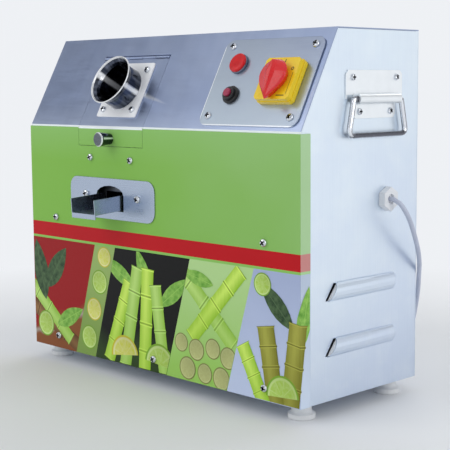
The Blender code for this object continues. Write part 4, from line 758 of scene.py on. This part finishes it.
def build_plug_relief(points, diameter):
    """Tapered, grooved sleeve over the last stretch of the lead before its plug."""
    bm = bmesh.new()
    rings = []
    count, taper = 28, 0.0085
    for step in range(count):
        back = 0.0005 + 0.001 * (count - 1 - step)
        radius = diameter / 2 + 0.00065
        if back > taper:
            radius -= 0.0004 * (back - taper) / 0.0190
        else:
            radius += 0.0012 * (taper - back) / 0.0080
        if step % 3 == 1 and step > 2:
            radius -= 0.0003
        spot, left = points[-1], back
        for here, before in zip(points[::-1], points[-2::-1]):
            reach = (here - before).length
            if left <= reach:
                spot = here + (before - here) * (left / reach)
                break
            left -= reach
        forward = (here - before).normalized()
        side = forward.cross(Vector((0, 0, 1))).normalized()
        up = side.cross(forward)
        rings.append([spot + radius * (side * x + up * y) for x, y in around(20)])
    add_ring_stack(bm, rings)
    return add_piece("plug_relief", bm, plastic_black)


def smooth_route(route, spacing):
    """Points along a curve through the route's knots, about one spacing apart."""
    points = []
    padded = [route[0] * 2 - route[1]] + route + [route[-1] * 2 - route[-2]]
    for a, b, c, d in zip(padded, padded[1:], padded[2:], padded[3:]):
        steps = max(1, round((c - b).length / spacing))
        for i in range(steps):
            t = i / steps
            points.append(0.5 * ((2 * b) + (c - a) * t + (2 * a - 5 * b + 4 * c - d) * t ** 2
                                 + (3 * b - a - 3 * c + d) * t ** 3))
    return points


def build_lead():
    """The mains lead as one curve: the free stretch, then the coil, with a tie round it."""
    diameter = 0.0064
    step = diameter + 0.0006
    turns_in = 2.125
    points_a_turn = 24
    mean_r = 0.0370
    centre = Vector((0.118, BACK + 0.066, 0))
    floor = diameter / 2 + 0.0001
    outer = mean_r + step * turns_in / 2
    coil = []
    for i in range(round(2 * turns_in * points_a_turn) + 1):
        turn = i / points_a_turn
        radius = outer - step * min(turn, 2 * turns_in - turn)
        climb = min(1.0, max(0.0, (turn - turns_in + 0.25) / 0.5))
        angle = 2 * math.pi * turn
        coil.append(centre + Vector((radius * math.cos(angle), radius * math.sin(angle),
                                     floor + step * climb)))
    tangent = (coil[-1] - coil[-2]).normalized()
    coil.append(coil[-1] + tangent * diameter * 1.2)
    start = coil[0] + Vector((0, -diameter, 0))
    gland = Vector((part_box("cable_gland")[1][0] - 0.0027, FRONT + 0.168, BOTTOM + 0.250))
    route = [base + Vector(offset) for base, offsets in (
        (gland, ((0, 0, 0), (0.0060, 0, 0), (0.0150, 0.0020, -0.0050),
                 (0.0205, 0.0070, -0.0155), (0.0222, 0.0145, -0.0285),
                 (0.0205, 0.0245, -0.0435), (0.0160, 0.0370, -0.0590))),
        (Vector((gland.x, BACK, gland.z)),
         ((0.0095, -0.0170, -0.0750), (0.0010, -0.0030, -0.0930), (-0.0100, 0.0110, -0.1130),
          (-0.0205, 0.0235, -0.1360), (-0.0310, 0.0325, -0.1620), (-0.0400, 0.0370, -0.1900))),
        (Vector((gland.x, BACK, floor)),
         ((-0.0470, 0.0380, 0.0520), (-0.0545, 0.0362, 0.0300), (-0.0660, 0.0332, 0.0125),
          (-0.0825, 0.0292, 0.0020))),
        (Vector((start.x, start.y, floor)),
         ((0.0270, -0.0330, 0), (0.0135, -0.0294, 0), (0.0036, -0.0195, 0), (0, -0.0060, 0),
          (0, 0, 0)))) for offset in offsets]
    points = smooth_route(route, 0.008) + coil
    curve = bpy.data.curves.new("mains_lead", "CURVE")
    curve.dimensions = "3D"
    curve.bevel_depth = diameter / 2
    curve.bevel_resolution = 4
    curve.use_fill_caps = True
    spline = curve.splines.new("POLY")
    spline.points.add(len(points) - 1)
    for knot, point in zip(spline.points, points):
        knot.co = (*point, 1.0)
    spline.use_smooth = True
    curve.materials.append(sheath)
    cord = put("mains_lead", curve)
    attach(cord, "cabinet")
    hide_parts("power_cord", "power_cord_coil")

    bm = bmesh.new()
    rings = []
    wide, tall = step * 1.5 + diameter * 0.62, step * 0.5 + diameter * 0.62
    band, thick = 0.0035, 0.0007
    for x, y in around(24):
        radial = mean_r + wide * math.copysign(abs(x) ** 0.5, x)
        height = floor + step / 2 + tall * math.copysign(abs(y) ** 0.5, y)
        rings.append([centre + Vector((across, -radial - x * out, max(0.0002, height + y * out)))
                      for across, out in ((-band, 0), (band, 0), (band, thick), (-band, thick))])
    add_ring_stack(bm, rings, closed=True)
    tie = add_piece("lead_tie", bm, plastic_black, smooth=False)
    relief = build_plug_relief(points, diameter)


def build_louvre_lips():
    """The curled inner edge of each louvre's mouth, in a white, non-metallic finish that is a
    painted highlight where it catches the light.
    """
    for hand, side in SIDES:
        bm = bmesh.new()
        for centre in (0.069, 0.140):
            place = (side_frame(side) @ Matrix.Translation((side * (FRONT + 0.052),
                                                            BOTTOM + centre, 0))
                     @ Matrix.Diagonal((side, 1, 1, 1)))
            rings = []
            for step in range(13):
                angle = math.pi * (0.93 * (step / 12 - 0.5))
                level = math.sin(angle)
                along = 0.016 * (1 + level) / 2
                bulge = 0.0058 * math.cos(angle)
                rings.append([place @ Vector((along + back, 0.0106 * level, out))
                              for back, out in ((0.0004, bulge),
                                                (0.0004, (0.02 + 0.16 * level) * bulge),
                                                (0.0022, 0.02 * bulge), (0.0022, bulge))])
            add_ring_stack(bm, rings)
        add_piece(f"louvre_lips_{hand}", bm, lip_painted_highlight)


def build_weld():
    """Bead of weld round the foot of the feed tube."""
    bm = bmesh.new()
    middle = box_middle("feed_tube")
    radius = 0.0313
    rings = []
    for i, (x, y) in enumerate(around(96)):
        swell = 0.0011 + 0.00025 * math.sin(math.pi / 2 * i)
        rings.append([SLOPE_FRAME @ Vector((middle.x + (radius + swell * out) * x,
                                            FEED_UP + (radius + swell * out) * y,
                                            PLATE_OUT + swell * max(0.0, rise)))
                      for out, rise in around(8)])
    add_ring_stack(bm, rings, closed=True)
    add_piece("tube_weld", bm, weld_steel, "hatch")


def build_switch_marks():
    """On and off marks and a pointer line on the isolator's yellow face."""
    middle = SLOPE_FRAME.inverted() @ box_middle("isolator_base")
    spot = SLOPE_FRAME @ Matrix.Translation((middle.x, middle.y, ISOLATOR_FACE))
    bm = bmesh.new()
    low, high = -0.0001, 0.0002

    def bar(x, y, width, height):
        outline = [(x + a * width / 2, y + b * height / 2) for a, b in SQUARE]
        add_ring_stack(bm, [[spot @ Vector((*corner, z)) for corner in outline]
                            for z in (low, high)])

    bar(0.0045, 0.0245, 0.0011, 0.0042)
    rings = []
    for x, y in around(24):
        rings.append([spot @ Vector((0.0205 + r * x, 0.0135 + r * y, z))
                      for r, z in ((0.0014, low), (0.0023, low), (0.0023, high), (0.0014, high))])
    add_ring_stack(bm, rings, closed=True)
    bar(0.0235, -0.0070, 0.0004, 0.0300)
    bar(0.0150, -0.0235, 0.0130, 0.0011)
    add_piece("isolator_marks", bm, ink_black, smooth=False)


# Printed motifs

def leaf_outline():
    side = [(0.5 + 0.5 * math.sin(math.pi * t) ** 0.8 * (1.15 - 0.3 * t), t)
            for t in (0.0, 0.1, 0.22, 0.36, 0.5, 0.64, 0.78, 0.9)]
    return side + [(0.5, 1.0)] + [(1 - u, v) for u, v in reversed(side[1:])]


def disc_outline(start=0.0, end=360.0, steps=36):
    angles = [math.radians(start + (end - start) * i / steps)
              for i in range(steps + (0 if end - start >= 360 else 1))]
    return [(0.5 + 0.5 * math.cos(a), 0.5 + 0.5 * math.sin(a)) for a in angles]


def stalk_outline():
    """A length of cane: straight sides with slight swellings at its joints."""
    right = []
    for i in range(41):
        v = i / 40
        swell = max(0.0, 1 - abs((v * 4 + 0.5) % 1 - 0.5) * 12)
        right.append((0.95 + 0.05 * swell, v))
    return right + [(1 - u, v) for u, v in reversed(right)]


SHAPES = {"leaf": leaf_outline(), "disc": disc_outline(), "stalk": stalk_outline(),
          "half": disc_outline(0, 180)}


def clipped(corners, along, up, limit):
    """Cut a polygon of (x, height, u, v) corners off where along * x + up * height > limit."""
    kept = []
    for first, second in zip(corners, corners[1:] + corners[:1]):
        a = along * first[0] + up * first[1] - limit
        b = along * second[0] + up * second[1] - limit
        if a <= 0:
            kept.append(first)
        if (a < 0 < b) or (b < 0 < a):
            t = a / (a - b)
            kept.append(tuple(p + (q - p) * t for p, q in zip(first, second)))
    return kept


# Shape, ink, panel, place across and up the front, width, height, and turn in degrees
MOTIFS = (
    ("stalk", "bark", 0, -0.236, 0.040, 0.026, 0.150, 66),
    ("stalk", "juice", 0, -0.243, 0.060, 0.024, 0.140, 52),
    ("leaf", "leaf", 0, -0.262, 0.118, 0.036, 0.096, 14),
    ("leaf", "leaf", 0, -0.222, 0.124, 0.034, 0.084, -38),
    ("leaf", "fresh", 0, -0.190, 0.052, 0.026, 0.072, -64),
    ("disc", "lime", 0, -0.252, 0.034, 0.040, 0.040, 20),
    ("disc", "lime", 1, -0.143, 0.028, 0.036, 0.036, 0),
    ("disc", "lemon", 1, -0.130, 0.072, 0.034, 0.034, 30),
    ("disc", "lime", 1, -0.116, 0.114, 0.036, 0.036, 60),
    ("disc", "lemon", 1, -0.104, 0.152, 0.030, 0.030, 15),
    ("leaf", "fresh", 2, -0.070, 0.134, 0.024, 0.080, 62),
    ("leaf", "fresh", 2, -0.016, 0.140, 0.024, 0.070, 24),
    ("leaf", "fresh", 2, 0.048, 0.118, 0.024, 0.076, -54),
    ("stalk", "cane", 2, -0.072, 0.062, 0.026, 0.130, -22),
    ("stalk", "juice", 2, -0.044, 0.072, 0.027, 0.150, -12),
    ("stalk", "cane", 2, -0.012, 0.066, 0.028, 0.160, -4),
    ("stalk", "juice", 2, 0.018, 0.060, 0.026, 0.130, 8),
    ("half", "lemon", 2, -0.060, 0.014, 0.060, 0.058, 8),
    ("half", "lime", 2, 0.016, 0.012, 0.062, 0.060, -6),
    ("stalk", "juice", 3, 0.108, 0.112, 0.026, 0.150, 48),
    ("stalk", "cane", 3, 0.130, 0.112, 0.026, 0.140, -44),
    ("leaf", "fresh", 3, 0.096, 0.144, 0.020, 0.062, 78),
    ("disc", "chunk", 3, 0.062, 0.052, 0.026, 0.026, 0),
    ("disc", "chunk", 3, 0.092, 0.046, 0.030, 0.030, 40),
    ("disc", "chunk", 3, 0.124, 0.052, 0.028, 0.028, 10),
    ("disc", "chunk", 3, 0.153, 0.044, 0.030, 0.030, 70),
    ("disc", "chunk", 3, 0.074, 0.018, 0.032, 0.032, 0),
    ("disc", "chunk", 3, 0.108, 0.016, 0.028, 0.028, 30),
    ("disc", "chunk", 3, 0.140, 0.014, 0.032, 0.032, 0),
    ("leaf", "leaf", 4, 0.240, 0.126, 0.026, 0.080, 46),
    ("leaf", "fresh", 4, 0.288, 0.112, 0.026, 0.084, -12),
    ("stalk", "olive", 4, 0.270, 0.052, 0.034, 0.110, -8),
    ("stalk", "olive", 4, 0.230, 0.046, 0.032, 0.104, 10),
    ("stalk", "cane", 4, 0.200, 0.030, 0.026, 0.086, 28),
    ("half", "lime", 4, 0.250, 0.010, 0.056, 0.056, 4),
    ("disc", "lime", 4, 0.216, 0.150, 0.030, 0.030, 0))


def build_motifs():
    """Lay cane, leaves and slices on the cover as thin inks, cut off at their panel's edges."""
    inks = {"lime": slice_ink("ink_lime", (0.200, 0.420, 0.030), (0.62, 0.80, 0.30),
                              (0.430, 0.650, 0.090)),
            "lemon": slice_ink("ink_lemon", (0.640, 0.560, 0.030), (0.80, 0.80, 0.40),
                               (0.700, 0.720, 0.090)),
            "cane": stalk_ink("ink_cane", (0.300, 0.560, 0.030), (0.620, 0.860, 0.140)),
            "olive": stalk_ink("ink_olive", (0.190, 0.190, 0.018), (0.400, 0.400, 0.070)),
            "juice": stalk_ink("ink_juice", (0.290, 0.540, 0.060), (0.500, 0.740, 0.200)),
            "bark": stalk_ink("ink_bark", (0.110, 0.045, 0.016), (0.300, 0.160, 0.060)),
            "leaf": leaf_ink("ink_leaf", (0.020, 0.050, 0.022), (0.090, 0.160, 0.070)),
            "fresh": leaf_ink("ink_fresh", (0.120, 0.340, 0.040), (0.330, 0.600, 0.120)),
            "chunk": slice_ink("ink_chunk", (0.230, 0.230, 0.070), (0.560, 0.600, 0.260),
                               (0.480, 0.500, 0.200))}
    edges = (PRINT_EDGES[0], *DIVIDERS, PRINT_EDGES[1])
    for ink in inks:
        bm = bmesh.new()
        uv = bm.loops.layers.uv.new("print")
        for layer, (shape, name, panel, x, height, wide, tall, turn) in enumerate(MOTIFS):
            if name != ink:
                continue
            turn = math.radians(turn)
            proud = 0.00006 + 0.000012 * layer
            corners = []
            for u, v in SHAPES[shape]:
                a, b = (u - 0.5) * wide, (v - 0.5) * tall
                corners.append((x + a * math.cos(turn) - b * math.sin(turn),
                                height + a * math.sin(turn) + b * math.cos(turn), u, v))
            slant = SLANT if panel else 0.0
            for along, up, limit in ((-1, slant, -edges[panel] - 0.0004), (0, -1, -0.0010),
                                     (1, -SLANT, edges[panel + 1] - 0.0004),
                                     (0, 1, PANEL_TOP - 0.0005), (1, 0, HALF_W + PRINT_FLANGE)):
                corners = clipped(corners, along, up, limit) if corners else []
            front = clipped(corners, 1, 0, HALF_W + proud) if corners else []
            flange = clipped(corners, -1, 0, -HALF_W - proud) if corners else []
            for part, side in ((front, 0), (flange, 1)):
                if len(part) < 3:
                    continue
                fold = HALF_W + proud
                spots = [(min(px, fold), FRONT - proud + side * (px - fold), BOTTOM + pz)
                         for px, pz, *_ in part]
                face = bm.faces.new([bm.verts.new(spot) for spot in spots])
                for loop, corner in zip(face.loops, part):
                    loop[uv].uv = corner[2:]
        add_piece(f"print_{ink}", bm, inks[ink], smooth=False, solid=False)


def floor_paint():
    """Pale paper that keeps the shadow near the machine and runs into the backdrop further off."""
    shader = Shader("floor")
    cloud = shader.noise(3.0, 2.0)
    grain = shader.noise(260.0, 2.0)
    tone = shader.mix(shader.spread(cloud, 0.0, 1.0), (0.80, 0.81, 0.82), (0.78, 0.79, 0.80))
    shader.finish(colour=tone, rough=0.7, shine=0.2, normal=shader.bump(grain, 0.05, 0.0003))
    glow = shader.node("ShaderNodeEmission", {"Color": BACKDROP, "Strength": 1.0})
    length = shader.node("ShaderNodeVectorMath", {0: shader.place.outputs["Object"]},
                         operation="LENGTH")
    path = shader.node("ShaderNodeLightPath")
    seen = shader.larger(path.outputs["Is Camera Ray"], path.outputs["Is Glossy Ray"])
    seen = shader.larger(seen, path.outputs["Is Transmission Ray"])
    fade = shader.mul(seen, shader.spread(length.outputs["Value"], 0.0, 1.0, 0.45, 1.10))
    blend = shader.node("ShaderNodeMixShader",
                        {"Fac": fade, 1: shader.surface.outputs[0], 2: glow.outputs[0]})
    output = shader.tree.nodes["Material Output"]
    shader.link(blend.outputs[0], output.inputs["Surface"])
    return shader.material


def build_studio():
    camera_data = bpy.data.cameras.new("camera")
    camera_data.sensor_width = SENSOR_MM
    camera_data.lens = FOCAL_PX / PHOTO_PX * SENSOR_MM
    camera_data.clip_start = 0.05
    camera = put("camera", camera_data)
    camera.matrix_world = (Matrix.Translation(CAMERA_AT) @ Matrix.Rotation(AZIMUTH, 4, "Z")
                           @ Matrix.Rotation(math.pi / 2 - ELEVATION, 4, "X")
                           @ Matrix.Rotation(ROLL, 4, "Z"))
    bpy.context.scene.camera = camera

    mesh = bpy.data.meshes.new("floor")
    corners = [(x * FLOOR_REACH, y * FLOOR_REACH, 0) for x, y in SQUARE]
    mesh.from_pydata(corners, [], [(0, 1, 2, 3)])
    mesh.materials.append(floor_paint())
    floor = put("floor", mesh)

    def lamp(name, spot, target, size, power):
        data = bpy.data.lights.new(name, "AREA")
        data.shape = "RECTANGLE"
        data.size, data.size_y = size
        data.energy = power
        light = put(name, data)
        light.matrix_world = Matrix.Translation(spot) @ (
            Vector(spot) - Vector(target)).to_track_quat("Z", "Y").to_matrix().to_4x4()

    lamp("key", (-0.9, -2.1, 1.7), (0, 0, 0.25), (2.2, 1.8), 21)
    lamp("side", (2.2, 0.1, 1.2), (0.2, 0, 0.25), (1.8, 1.8), 14)
    lamp("back", (-0.4, 1.9, 1.6), (0, 0, 0.3), (2.4, 1.6), 16)

    world = bpy.data.worlds.new("studio")
    bpy.context.scene.world = world
    world.use_nodes = True
    tree = world.node_tree
    shade = tree.nodes["Background"]
    place = tree.nodes.new("ShaderNodeTexCoord")
    split = tree.nodes.new("ShaderNodeSeparateXYZ")
    ramp = tree.nodes.new("ShaderNodeValToRGB")
    tree.links.new(place.outputs["Generated"], split.inputs[0])
    tree.links.new(split.outputs["Z"], ramp.inputs["Fac"])
    stops = ((0.0, 1.0), (0.20, 1.0), (0.36, 0.50), (0.52, 0.30), (0.75, 0.60), (1.0, 0.95))
    for position, level in stops[1:-1]:
        ramp.color_ramp.elements.new(position)
    for element, (position, level) in zip(ramp.color_ramp.elements, stops):
        element.position = position
        element.color = (*(level * share for share in BACKDROP), 1.0)
    tree.links.new(ramp.outputs["Color"], shade.inputs["Color"])
    shade.inputs["Strength"].default_value = 1.0
    bpy.context.scene.view_settings.view_transform = "Standard"


build_studio()
build_lead()
build_screws()
build_louvre_lips()
build_weld()
build_switch_marks()
build_motifs()
